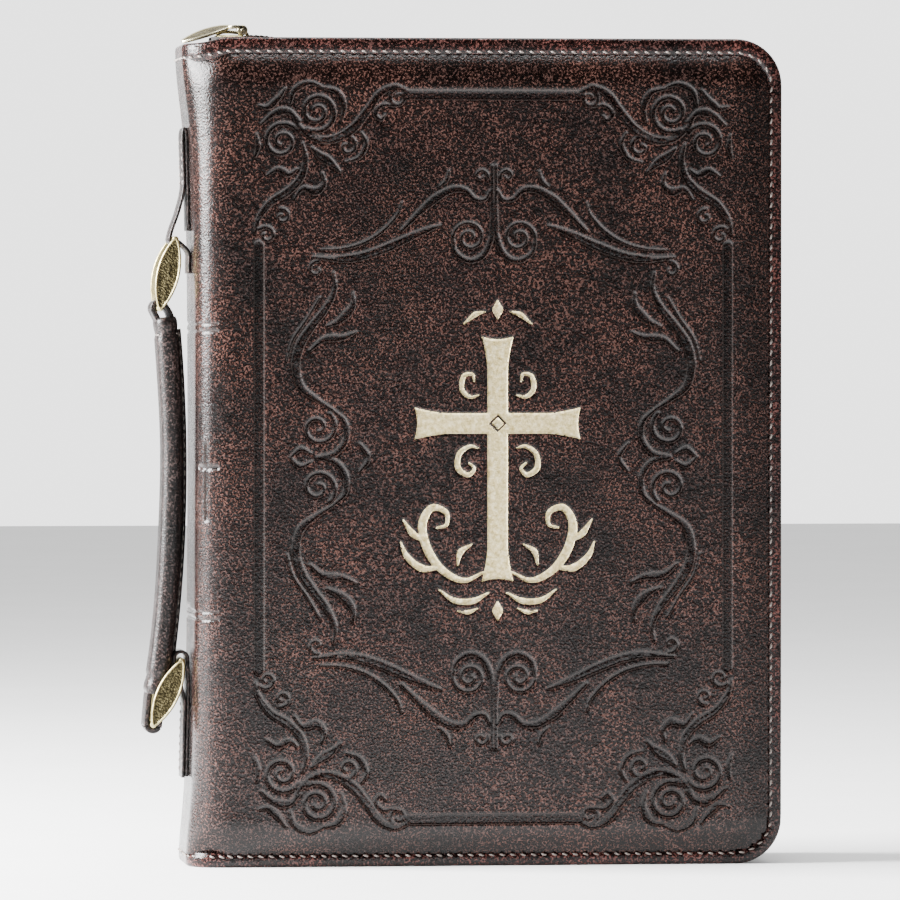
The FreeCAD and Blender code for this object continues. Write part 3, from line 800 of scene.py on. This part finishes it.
def build_wraps():
    wraps = [padded_wrap("front_padded_wrap", -1, front_distance, FRONT_VEINS, 2),
             padded_wrap("back_padded_wrap", 1, back_distance, None, 1)]
    for wrap, (side, word) in zip(wraps, SIDES):
        made_of(wrap, replaces=[f"{word}_skin", f"{word}_padding"])
        edge = made_of(flange(f"{word}_flange", side), replaces=[f"{word}_skin", "spine_skin"])
        thread = made_of(seam_stitches(f"{word}_seam_stitches", side), replaces=[f"{word}_seam_thread"])
        for obj in (wrap, edge, thread):
            hang_on_hinge(obj, side)


def build_emblem():
    """The gold foil, pressed into the leatherette's own recess."""
    reach, edge = (38, 60), 0.22
    points, faces = cell_mesh(emblem_distance, EMBLEM_CENTRE - reach, EMBLEM_CENTRE + reach, 1.0, 2)
    distance, slope = emblem_distance(points), gradient(emblem_distance, points, 0.02)
    steepness = np.maximum((slope ** 2).sum(axis=1), 0.25)
    near = np.abs(distance) < edge
    points[near] -= (distance / steepness)[near, None] * slope[near]
    kept = [f for f in faces if (distance[f] < edge).all()]
    sunk = sway(points) + stamp(emblem_distance(points)) * STAMP_DEPTH - 0.06
    emblem = tidy_mesh(mesh_object("gold_emblem", wrap_surface(points, sunk, -1), kept, FOIL))
    made_of(emblem, "front_cover", ["front_emblem"])


# ---- stitches along a path

def path_stitches(name, path, lift, depths, pitch, length=1.7, radius=0.26, ends=(0.6, 0.4)):
    """Rows of stitches along a path, lift away from it and at several depths."""
    spots, ahead, out = spaced(path, pitch * ends[0], pitch, pitch * ends[1])
    places = np.vstack([placed(spots + out * lift, depth) for depth in depths])
    rows = (len(depths), 1)
    normals = np.tile(upright(out) * math.copysign(1, lift), rows)
    return stitches(name, places, np.tile(upright(ahead), rows), normals, length, radius)


def cross_stitches(name, spot, away):
    """A short row of stitches across the grip, along the depth."""
    depths = np.arange(-6.6, 6.61, 1.9)
    rows = (len(depths), 1)
    normals = upright(np.tile(away, rows))
    return stitches(name, placed(np.tile(spot, rows), depths), np.tile((0, 1, 0), rows), normals, 1.3, 0.28)


# ---- zip, gussets and tape

TOOTH_PITCH, TOOTH_LENGTH = 1.7, 3.6
TEETH_INSET = 2.5
TEETH_START, TEETH_DEPTH = 20.6, 3.1
ZIP_RISE = 3.0
TAPE_TOP = 12.6
TAPE_SEAM = (1.42, 11.6)
GUSSET_LINE = ((4.4, 23.4), (2.6, 23.2), (1.75, 22.2), (1.5, 19), (1.45, 15), (1.55, 12), (1.9, 10.6),
               (2.25, 10.4))
TAPE_LINE = ((2.75, TAPE_TOP), (2.55, 10.5), (2.35, 7), (2.2, 4), (2.25, 2.6), (2.7, 1.0))


def zip_lift(path):
    """How far the zip rises beside the slider, where it bends up into it."""
    return np.where(path[:, 1] > HEIGHT - 6, ZIP_RISE * smooth((43.0 - path[:, 0]) / 20), 0.0)


def edge_band(name, side, line, thickness, material, lifted=False):
    """A band along a cover's zipped edge. line lists (inset, depth) on its outer face."""
    line = np.array(line, float)
    rows = []
    for inset, depth in np.vstack([line, line[::-1] + (thickness, 0)]):
        path = rim_path(inset, 2.0, HINGE + 0.4)
        if lifted:
            path[:, 1] += zip_lift(path) * smooth((TAPE_TOP - depth) / 9)
        rows.append(placed(path, side * depth))
    return loft(name, np.stack(rows, axis=1), material)


def tooth():
    """One zip tooth: a waist on the tape and a rounded head, along +y, z up, along x."""
    half = np.array([(-0.42, 0.0), (-0.42, 1.6), (-0.56, 2.1), (-0.5, TOOTH_LENGTH - 0.35),
                     (-0.22, TOOTH_LENGTH)])
    outline = np.vstack([half, half[::-1] * (-1, 1)])
    return np.array([np.insert(outline * (share, 1.0), 2, height, axis=1)
                     for height, share in ((-0.95, 0.7), (-0.7, 1.0), (0.7, 1.0), (0.95, 0.7))])


def zip_teeth(name, side, first):
    """A row of teeth round to the foot, alternating with the other side's row."""
    path = rim_path(TEETH_INSET, 1.0, TEETH_START)
    path[:, 1] += zip_lift(path)
    spots, ahead, out = spaced(path, first, TOOTH_PITCH, 1)
    shape = tooth()
    points, faces = [], []
    for spot, forward, away in zip(placed(spots, side * TEETH_DEPTH), upright(ahead), upright(out)):
        faces += tube_faces(*shape.shape[:2], sum(map(len, points)))
        points.append(spot + shape.reshape(-1, 3) @ np.array([forward, (0, -side, 0), away]))
    return tidy_mesh(mesh_object(name, np.vstack(points), faces, TEETH, rounded=False))


def build_zip_edges():
    for side, word in SIDES:
        body = f"{word}_cover"
        gusset = edge_band(f"{word}_gusset_wall", side, GUSSET_LINE, 0.5, STRAP)
        made_of(gusset, body, [f"{word}_gusset"])
        tape = edge_band(f"{word}_woven_tape", side, TAPE_LINE, 0.35, TAPE, lifted=True)
        made_of(tape, body, [f"{word}_zip_tape"])
        teeth = zip_teeth(f"{word}_interlocking_teeth", side, TOOTH_PITCH / 2 if side < 0 else 0.0)
        made_of(teeth, body, [f"{word}_zip_teeth"])
        inset, depth = TAPE_SEAM
        seam = rim_path(inset, 1.0, HINGE + 2)
        thread = path_stitches(f"{word}_tape_stitches", seam, 0.0, (side * depth,), 3.0, 2.0, 0.2, (1, 1))
        made_of(thread, body)


# ---- brass: links, slider and pull

LEAF_WIDTH, LEAF_THICKNESS = 3.7, 1.8
LEAF_PROFILE = ((0.3, 0.0), (0.05, 0.2), (0.0, 0.5), (0.0, 1.25), (0.12, 1.62), (0.32, 1.8), (0.55, 1.76),
                (0.75, 1.42), (0.95, 1.36), (1.8, 1.4), (2.7, 1.44), (3.2, 1.55))
GROUND_RING = 7


def leaf_ring(half_length, half_width, inset, height):
    """A pointed oval moved inwards, at a height, as (along, across, height) points."""
    radius = (half_length ** 2 + half_width ** 2) / (2 * half_width)
    centre, shrunk_radius = radius - half_width, radius - inset
    limit = math.acos(min(centre / shrunk_radius, 1.0))
    upper = circle(np.linspace(-limit, limit, 17))[:, ::-1] * shrunk_radius - (0, centre)
    ring = np.vstack([upper, -upper])
    blunt = half_length - 0.95 - inset
    ring[:, 0] = np.clip(ring[:, 0], -blunt, blunt)
    return np.insert(ring, 2, height, axis=1)


def leaf_plate(name, half_length, half_width, put, thickness=LEAF_THICKNESS, rim=BRASS):
    """A pointed oval with a raised rim round a pebbled ground. put places its points."""
    rings = [put(leaf_ring(half_length, half_width, inset * half_width / LEAF_WIDTH,
                           height * thickness / LEAF_THICKNESS)) for inset, height in LEAF_PROFILE]
    obj = loft(name, rings, rim, tidied=False)
    obj.data.materials.append(GROUND)
    for polygon in obj.data.polygons:
        if min(polygon.vertices) >= GROUND_RING * len(rings[0]):
            polygon.material_index = 1
    edges = obj.modifiers.new("bevel", "BEVEL")
    edges.width, edges.segments, edges.harden_normals = 0.00008, 1, False
    edges.limit_method, edges.angle_limit = "ANGLE", math.radians(50)
    return tidy_mesh(obj)


def bar(name, centre, radius, half, material):
    """A bar along the depth with softened ends."""
    levels = ((-half, radius * 0.75), (-half + 0.25, radius), (half - 0.25, radius), (half, radius * 0.75))
    return turned(name, centre, levels, material)


UPPER_ANCHOR, UPPER_GRIP = np.array([-3.5, 202.2]), np.array([-8.5, 179.9])
LOWER_GRIP, LOWER_ANCHOR = np.array([-10.7, 45.3]), np.array([-1.5, 65.8])
LINK_INSIDE = 9.0


def link(body, first, second):
    """A carrier link: a leaf-shaped plate at each side and a bar at each end."""
    length = np.linalg.norm(second - first)
    along = (second - first) / length
    axes = np.array([along, along[::-1] * (-1, 1)])
    for side, word in NEAR_FAR:
        def put(ring, side=side):
            return placed((first + second) / 2 + ring[:, :2] @ axes, side * (LINK_INSIDE + ring[:, 2]))
        made_of(leaf_plate(f"{body}_{word}_plate", length / 2 + 1.5, 3.8, put), body, [body])
    for spot, word in ((first, "first"), (second, "second")):
        made_of(bar(f"{body}_{word}_bar", spot, 1.0, LINK_INSIDE + 0.4, BRASS), body)


PULL_LINE = catmull([(16.4, 271.5), (13, 270.9), (8.5, 269.7), (4, 268.2), (0.6, 266.9), (-1.7, 266.1)], 6)
PULL_ROLL = math.radians(18)
PULL_PIVOT = np.array([18.8, 270.0])
EYE_LEVELS = ((1.2, 1.5), (1.4, 1.75), (2.0, 1.75), (2.2, 1.5))
ARM_PATH = ((18.8, 271.0), (16.6, 271.2), (14.4, 270.8))


def pull_put(ring):
    """Bends the pull's plate along its line and rolls it a little towards the front."""
    at = ring[:, 0] + lengths(PULL_LINE)[-1] / 2
    line, normal = sample(at, PULL_LINE, path_frames(PULL_LINE)[1])
    aside, height = ring[:, 1], ring[:, 2] - 0.6
    rise = aside * math.sin(PULL_ROLL) + height * math.cos(PULL_ROLL)
    depth = aside * math.cos(PULL_ROLL) - height * math.sin(PULL_ROLL)
    return placed(line - rise[:, None] * normal, depth)


def build_pull():
    made_of(leaf_plate("pull_leaf_plate", 9.5, 3.7, pull_put, 1.0, BRIGHT), "zip_pull", ["zip_pull"])
    made_of(bar("pull_pin", PULL_PIVOT, 0.6, 2.3, BRIGHT), "zip_pull")
    for side, word in NEAR_FAR:
        levels = [(side * depth, radius) for depth, radius in EYE_LEVELS]
        made_of(turned(f"pull_eye_{word}", PULL_PIVOT, levels, BRIGHT, 20), "zip_pull")
        section = rounded_box(0.55, 0.5, 0.2) + (0, side * 1.7)
        made_of(sweep(f"pull_arm_{word}", ARM_PATH, section, BRIGHT), "zip_pull")


SHIELD = catmull([(9.6, 1.2), (10.2, 3.4), (12.0, 4.5), (14.6, 4.3), (17.2, 3.7), (18.9, 3.2), (19.3, 1.6)])
SHIELD_OUTLINE = np.vstack([SHIELD, SHIELD[::-1] * (1, -1)])
TOP_LEVELS = ((266.7, 0.97), (266.9, 1.0), (267.7, 1.0), (268.2, 0.93), (268.4, 0.8))
FOOT_LEVELS = ((261.9, 0.94), (262.2, 1.0), (263.0, 1.0), (263.2, 0.97))
LUG_ARCH = catmull([(10.6, 268.3), (11.8, 269.2), (14.2, 269.5), (17.0, 269.3), (18.9, 269.4), (20.3, 269.0),
                    (20.5, 268.0), (19.0, 267.6)], 6)


def level_plate(name, outline, levels, material):
    """A flat piece from an outline of (across, depth) points. levels lists (height, share)."""
    rings = [np.insert(shrunk(outline, share), 2, height, axis=1) + (LEFT, 0, 0) for height, share in levels]
    return loft(name, rings, material)


def build_slider():
    """Two shield-shaped plates, the wedge between them and the lug with the pull's knuckle."""
    top = level_plate("slider_top_plate", SHIELD_OUTLINE, TOP_LEVELS, BRASS)
    made_of(top, "zip_slider", ["zip_slider"])
    foot = level_plate("slider_foot_plate", SHIELD_OUTLINE, FOOT_LEVELS, BRASS)
    lug = sweep("slider_lug", LUG_ARCH, rounded_box(0.55, 1.0, 0.4), BRIGHT)
    knuckle = bar("slider_knuckle", PULL_PIVOT, 1.25, 1.0, BRIGHT)
    wedge = sweep("slider_wedge", ((11.7, 265.9), (11.7, 267.2)), rounded_box(1.4, 0.35, 0.3), BRASS)
    for obj in (foot, lug, knuckle, wedge):
        made_of(obj, "zip_slider")


# ---- the handle

STRAP_HALF = 6.5
STRAP_THICK = 1.05


def on_spine(heights, layer):
    """The middle of a strap's layer on the spine at some heights, counted outwards from 0."""
    out = STRAP_THICK * (0.5 + layer) + 0.06 + 0.1 * layer
    return [(PINCH * (1 - ((z - HEIGHT / 2) / (HEIGHT / 2)) ** 2) - out, z) for z in heights]


def upper_strap_path():
    """Up the spine, folded over at the top, down, round the link's bar and back to the spine."""
    top = on_spine((237.4,), 0.5)[0][0]
    return catmull([*on_spine((205, 216, 227, 235.5), 0), (top, 238.0), *on_spine((235.5, 227, 219), 1.05),
                    (-2.2, 211.5), (-4.3, 205.6), *arc_points(UPPER_ANCHOR, 1.62, 165, 330, 9),
                    *on_spine((198.2,), 0.1), *on_spine((194.5, 191.2), 0)], 5)


def lower_strap_path():
    """Up the spine, round the link's bar and down again as a second layer."""
    return catmull([*on_spine((28.4, 36, 44, 52, 58), 0), (0.8, 61.6), (0.66, 64.4),
                    *arc_points(LOWER_ANCHOR + (0.0, 0.8), 2.15, -5, 185, 11),
                    (-3.6, 64.4), (-2.9, 61.4), (-1.6, 58.2), *on_spine((52, 44, 36, 28), 1.0)], 5)


def build_straps():
    section = rounded_box(STRAP_THICK / 2, STRAP_HALF, 0.4)
    for word, path in (("upper", upper_strap_path()), ("lower", lower_strap_path())):
        made_of(sweep(f"{word}_folded_strap", path, section, STRAP), "spine", [f"{word}_anchor_strap"])
    for word, low, high in (("upper", 219, 236), ("lower", 29, 54)):
        line = np.array(on_spine(np.linspace(low, high, 12), 1.0))
        rows = path_stitches(f"{word}_strap_stitches", line, STRAP_THICK / 2 + 0.02, (-5.4, 5.4), 2.6)
        made_of(rows, "spine")


GRIP_POINTS = ((-6.4, 177.0), (-4.2, 117.0), (-9.6, 55.0))
GRIP_HALF = (3.55, 8.4)
END_SEAM = 5.0


def grip_path():
    """The arc through the grip's three points."""
    a, b, c = (np.array(p) for p in GRIP_POINTS)
    centre = np.linalg.solve(2 * np.array([b - a, c - a]), [b @ b - a @ a, c @ c - a @ a])
    start, end = [math.atan2(*(p - centre)[::-1]) for p in (a, c)]
    return centre + np.linalg.norm(a - centre) * circle(np.linspace(start, end, 90))


def grip_scale(along):
    """The grip's fullness: pulled in by its two end seams, slack between them."""
    full = 1 + 0.03 * np.sin(along / 9.0)
    for seam in (END_SEAM, along[-1] - END_SEAM):
        full -= 0.16 * np.exp(-((along - seam) / 0.9) ** 2)
    taper = 0.9 + 0.1 * smooth(np.minimum(along, along[-1] - along) / 1.2)
    return np.stack([full * taper, 1 - (1 - full) * 0.35 - (1 - taper) * 0.4], 1)


def build_grip():
    """The padded grip, its sewn welt on the side of the spine and the stitches at its ends."""
    path = grip_path()
    along = lengths(path)
    grip = sweep("padded_grip", path, rounded_box(*GRIP_HALF, 3.1, 7), STRAP, grip_scale(along))
    made_of(grip, "handle_grip", ["handle_grip_cover"])
    _, normal = path_frames(path)
    inward = normal if normal[len(normal) // 2, 0] > 0 else -normal
    welt_line = (path + inward * (GRIP_HALF[0] + 0.35))[3:-3]
    made_of(sweep("grip_welt", welt_line, rounded_box(0.95, 1.0, 0.45), STRAP), "handle_grip")
    for side, word in NEAR_FAR:
        rows = path_stitches(f"grip_welt_stitches_{word}", welt_line + inward[3:-3] * 0.25, 0.0,
                             (side * 1.02,), 3.0, 1.9, 0.24)
        made_of(rows, "handle_grip")
    for k in np.searchsorted(along, (END_SEAM, along[-1] - END_SEAM)):
        for out, word in ((-inward[k], "outer"), (inward[k], "inner")):
            spot = path[k] + out * GRIP_HALF[0] * 0.86
            made_of(cross_stitches(f"grip_end_stitches_{int(path[k][1])}_{word}", spot, out), "handle_grip")


def core_loop(word, pin, end, inner):
    """The core strap where it comes out of the grip and goes round a link's bar."""
    direction = (pin - end) / np.linalg.norm(pin - end)
    aside = direction[::-1] * (-1, 1)
    far = math.degrees(math.atan2(direction[1], direction[0]))
    path = catmull([inner + aside * 1.9, end + aside * 2.2, *arc_points(pin, 2.05, far + 90, far - 90, 11),
                    end - aside * 2.2, inner - aside * 1.9], 4)
    loop = sweep(f"{word}_core_loop", path, rounded_box(0.92, STRAP_HALF, 0.5), STRAP)
    made_of(loop, "handle_grip", ["handle_core_strap"])


# ---- the book and the lining

def rounded_panel(low, high, radius, left_radius=0.2):
    """An outline of flat points with rounded corners."""
    points = []
    for right, top, angle in ((True, True, 0), (False, True, 90), (False, False, 180), (True, False, 270)):
        r = radius if right else left_radius
        centre = (high[0] - r if right else low[0] + r, high[1] - r if top else low[1] + r)
        points.append(arc_points(centre, r, angle, angle + 90))
    return np.vstack(points)


def panel_corners(node, trim=0.0):
    """A node's flat corners, drawn in except towards the spine."""
    (low, _, foot), (high, _, head) = limits(node)
    return np.array([low - LEFT, foot + trim]), np.array([high - LEFT - trim, head - trim])


LEAVES = 26


def page_block(cover, word):
    """A block of thin leaves with slightly uneven edges and rounded corners."""
    node = f"{cover}_{word}_pages"
    near, far = (corner[1] for corner in limits(node))
    low, high = panel_corners(node)
    thick = (far - near) / LEAVES
    rings, faces = [], []
    for depth in near + thick * np.arange(LEAVES):
        foot, fore, head = RANDOM.uniform(-0.16, 0.16, 3)
        curve = 0.5 * math.sin(math.pi * (abs(depth + thick / 2) / 17.2))
        outline = rounded_panel(low + (0, foot), high + (fore - curve - 0.2, head), 5.0)
        faces += tube_faces(2, len(outline), len(rings) * len(outline))
        rings += [placed(outline, depth + 0.02), placed(outline, depth + thick - 0.06)]
    block = mesh_object(f"{cover}_{word}_leaves", np.vstack(rings), faces, PAPER, rounded=False)
    made_of(tidy_mesh(block), f"{cover}_{word}_pages", [node])


LINING_SHAPE, POCKET_SHAPE = (10.0, 21.95, 0.3, 0.0), (8.0, 18.75, 0.35, 0.6)
CLOTH_LEVELS = ((1.0, 0.0), (0.985, 0.12), (0.95, 0.2), (0.85, 0.3), (0.6, 0.38), (0.3, 0.4))


def cloth_panel(name, side, cover, node, shape):
    """A thin cloth panel, drawn down at its sewn edge and slightly full in its middle."""
    radius, depth, thickness, trim = shape
    low, high = panel_corners(node, trim)
    outline = rounded_panel(low, high, radius, radius)
    front = [placed(shrunk(outline, share), side * (depth - lift)) for share, lift in CLOTH_LEVELS]
    back = [ring + (0, side * thickness, 0) for ring in front]
    obj = made_of(loft(name, [*front[::-1], *back], LINING), cover, [node])


def book_board(word):
    """One cover of the Bible, a plate with softened edges."""
    low, high = limits(f"{word}_bible_cover")
    outline = rounded_panel(*panel_corners(f"{word}_bible_cover"), 8.0)
    half = (outline.max(axis=0) - outline.min(axis=0)) / 2
    ends = ((0.0, 0.7), (0.25, 0.15), (0.7, 0.0))
    levels = [(low[1] + d, inset) for d, inset in ends] + [(high[1] - d, inset) for d, inset in ends[::-1]]
    rings = [placed(shrunk(outline, 1 - inset / half), depth) for depth, inset in levels]
    made_of(loft(f"{word}_book_board", rings, BOOK), f"{word}_cover", [f"{word}_bible_cover"])


def build_inside():
    for side, word in SIDES:
        cover = f"{word}_cover"
        for part in ("outer", "inner"):
            page_block(word, part)
        lining = f"{word}_lining_cloth"
        cloth_panel(lining, side, cover, f"{word}_lining", LINING_SHAPE)
        cloth_panel(f"{word}_pocket_cloth", side, cover, f"{word}_sleeve", POCKET_SHAPE)
        book_board(word)


RIBBON_LINE = catmull([(9.6, 255.4), (13.4, 253.4), (15.6, 246), (15.2, 200), (14.6, 120), (15.6, 40),
                       (15.2, 8), (13.2, 4.6)], 10)
RIBBON_SECTION = np.array([(-2.8, -0.07), (2.8, -0.07), (2.8, 0.07), (-2.8, 0.07)])


def build_ribbon():
    """The satin marker: glued at the head, laid between the leaves and out at the foot."""
    rings = [placed(p + RIBBON_SECTION[:, :1] * n, RIBBON_SECTION[:, 1] + 0.06 * math.sin(p[1] / 7))
             for p, n in zip(RIBBON_LINE, path_frames(RIBBON_LINE)[1])]
    made_of(loft("satin_ribbon", rings, RIBBON), "spine", ["ribbon_marker"])


def build_spine_end(end, sign):
    """The soft gusset between the covers at the spine's head or foot."""
    low, high = limits(f"spine_{end}_gusset")
    across, depth = np.meshgrid(np.linspace(low[0], high[0], 7),
                                np.linspace(low[1] * 0.98, high[1] * 0.98, 25), indexing="ij")
    sag = 0.35 * np.cos(depth / 2.4) + 0.25 * np.sin(across * 0.9)
    rows = np.stack([across, depth, (low[2] + high[2]) / 2 + sign * 0.25 * sag], -1)
    rings = np.concatenate([rows, rows[:, ::-1] + (0, 0, 0.5)], axis=1)
    made_of(loft(f"{end}_soft_gusset", rings, STRAP), "spine", [f"spine_{end}_gusset"])


def build_tab(end):
    """The tab over one end of the zip."""
    low, high = limits(f"zip_{end}_tab")
    outline = rounded_box((high[0] - low[0]) / 2, (high[1] - low[1]) / 2, 1.6)
    levels = ((low[2], 0.95), (low[2] + 0.15, 1), (high[2] - 0.15, 1), (high[2], 0.95))
    tab = level_plate(f"{end}_tab", outline + ((low[0] + high[0]) / 2 - LEFT, 0), levels, TAPE)
    made_of(tab, "spine", [f"zip_{end}_tab"])


# ---- studio

def aimed(name, data, place, target):
    """A lamp or camera that looks at a target."""
    obj = bpy.data.objects.new(name, data)
    obj.location = place
    obj.rotation_euler = (Vector(target) - Vector(place)).to_track_quat("-Z", "Y").to_euler()
    bpy.context.scene.collection.objects.link(obj)
    return obj


def softbox(name, place, target, size, power):
    data = bpy.data.lights.new(name, "AREA")
    data.shape, data.size, data.size_y = "RECTANGLE", *size
    data.energy = power
    aimed(name, data, place, target)


SKY = ((0.27, 0.012), (0.52, 0.26), (0.88, 2.8))
SKY_UP = (0, 0.97, 0.25)
FLAG = (-0.71, 0.70, 0.0)
FLAG_EDGE = {"From Min": 0.72, "From Max": 0.90, "To Min": 1.0, "To Max": 0.02}
FLOOR = ((-4000, -4000, 0), (4000, -4000, 0), (4000, 4000, 0), (-4000, 4000, 0))


def build_studio():
    """A pale floor, two softboxes and a sky that is bright at SKY_UP and dark at FLAG."""
    pale = speckled("pale_floor", grey(0.86), grey(0.90), 8.0, 0.9)
    mesh_object("floor", FLOOR, [(0, 1, 2, 3)], pale)
    world = bpy.context.scene.world = bpy.data.worlds.new("studio")
    n = Nodes(world, "Generated")
    lean, side = [n.add("VectorMath", {0: n.coords, 1: way}, operation="DOT_PRODUCT").outputs["Value"]
                  for way in (SKY_UP, FLAG)]
    share = n.add("MapRange", {"Value": lean, "From Min": -1.0}).outputs[0]
    shade = n.add("MapRange", {"Value": side, **FLAG_EDGE}).outputs[0]
    background = n.tree.nodes["Background"].inputs
    n.feed(background["Color"], n.ramp(share, *SKY))
    n.feed(background["Strength"], shade)
    softbox("left_softbox", (-1.04, -0.02, 0.58), (0, 0, 0.24), (0.72, 0.7), 165)
    softbox("top_softbox", (0.1, -0.25, 1.25), (0, 0, 0.13), (0.5, 0.3), 8)


CAMERA_AZIMUTH, CAMERA_ELEVATION = math.radians(-6.5), math.radians(1.0)
CAMERA_DISTANCE = 2.5
VIEW_WIDTH = 0.2930
AIM = (-0.0025, 0.0, 0.1338)


def build_camera():
    data = bpy.data.cameras.new("camera")
    data.sensor_width = 36.0
    data.lens = data.sensor_width * CAMERA_DISTANCE / VIEW_WIDTH
    data.clip_start, data.clip_end = 0.1, 20
    back = Vector((math.sin(CAMERA_AZIMUTH) * math.cos(CAMERA_ELEVATION),
                   -math.cos(CAMERA_AZIMUTH) * math.cos(CAMERA_ELEVATION), math.sin(CAMERA_ELEVATION)))
    bpy.context.scene.camera = aimed("camera", data, Vector(AIM) + back * CAMERA_DISTANCE, AIM)


dress_cad()
build_wraps()
build_emblem()
for spine_end in ("head", "foot"):
    build_tab(spine_end)
build_zip_edges()
build_slider()
build_pull()
link("upper_link", UPPER_ANCHOR, UPPER_GRIP)
link("lower_link", LOWER_GRIP, LOWER_ANCHOR)
build_straps()
build_grip()
core_loop("upper", UPPER_GRIP, np.array([-6.7, 176.4]), np.array([-5.9, 171]))
core_loop("lower", LOWER_GRIP, np.array([-9.7, 54.6]), np.array([-8.8, 60]))
build_inside()
build_ribbon()
build_spine_end("head", 1)
build_spine_end("foot", -1)
build_studio()
build_camera()
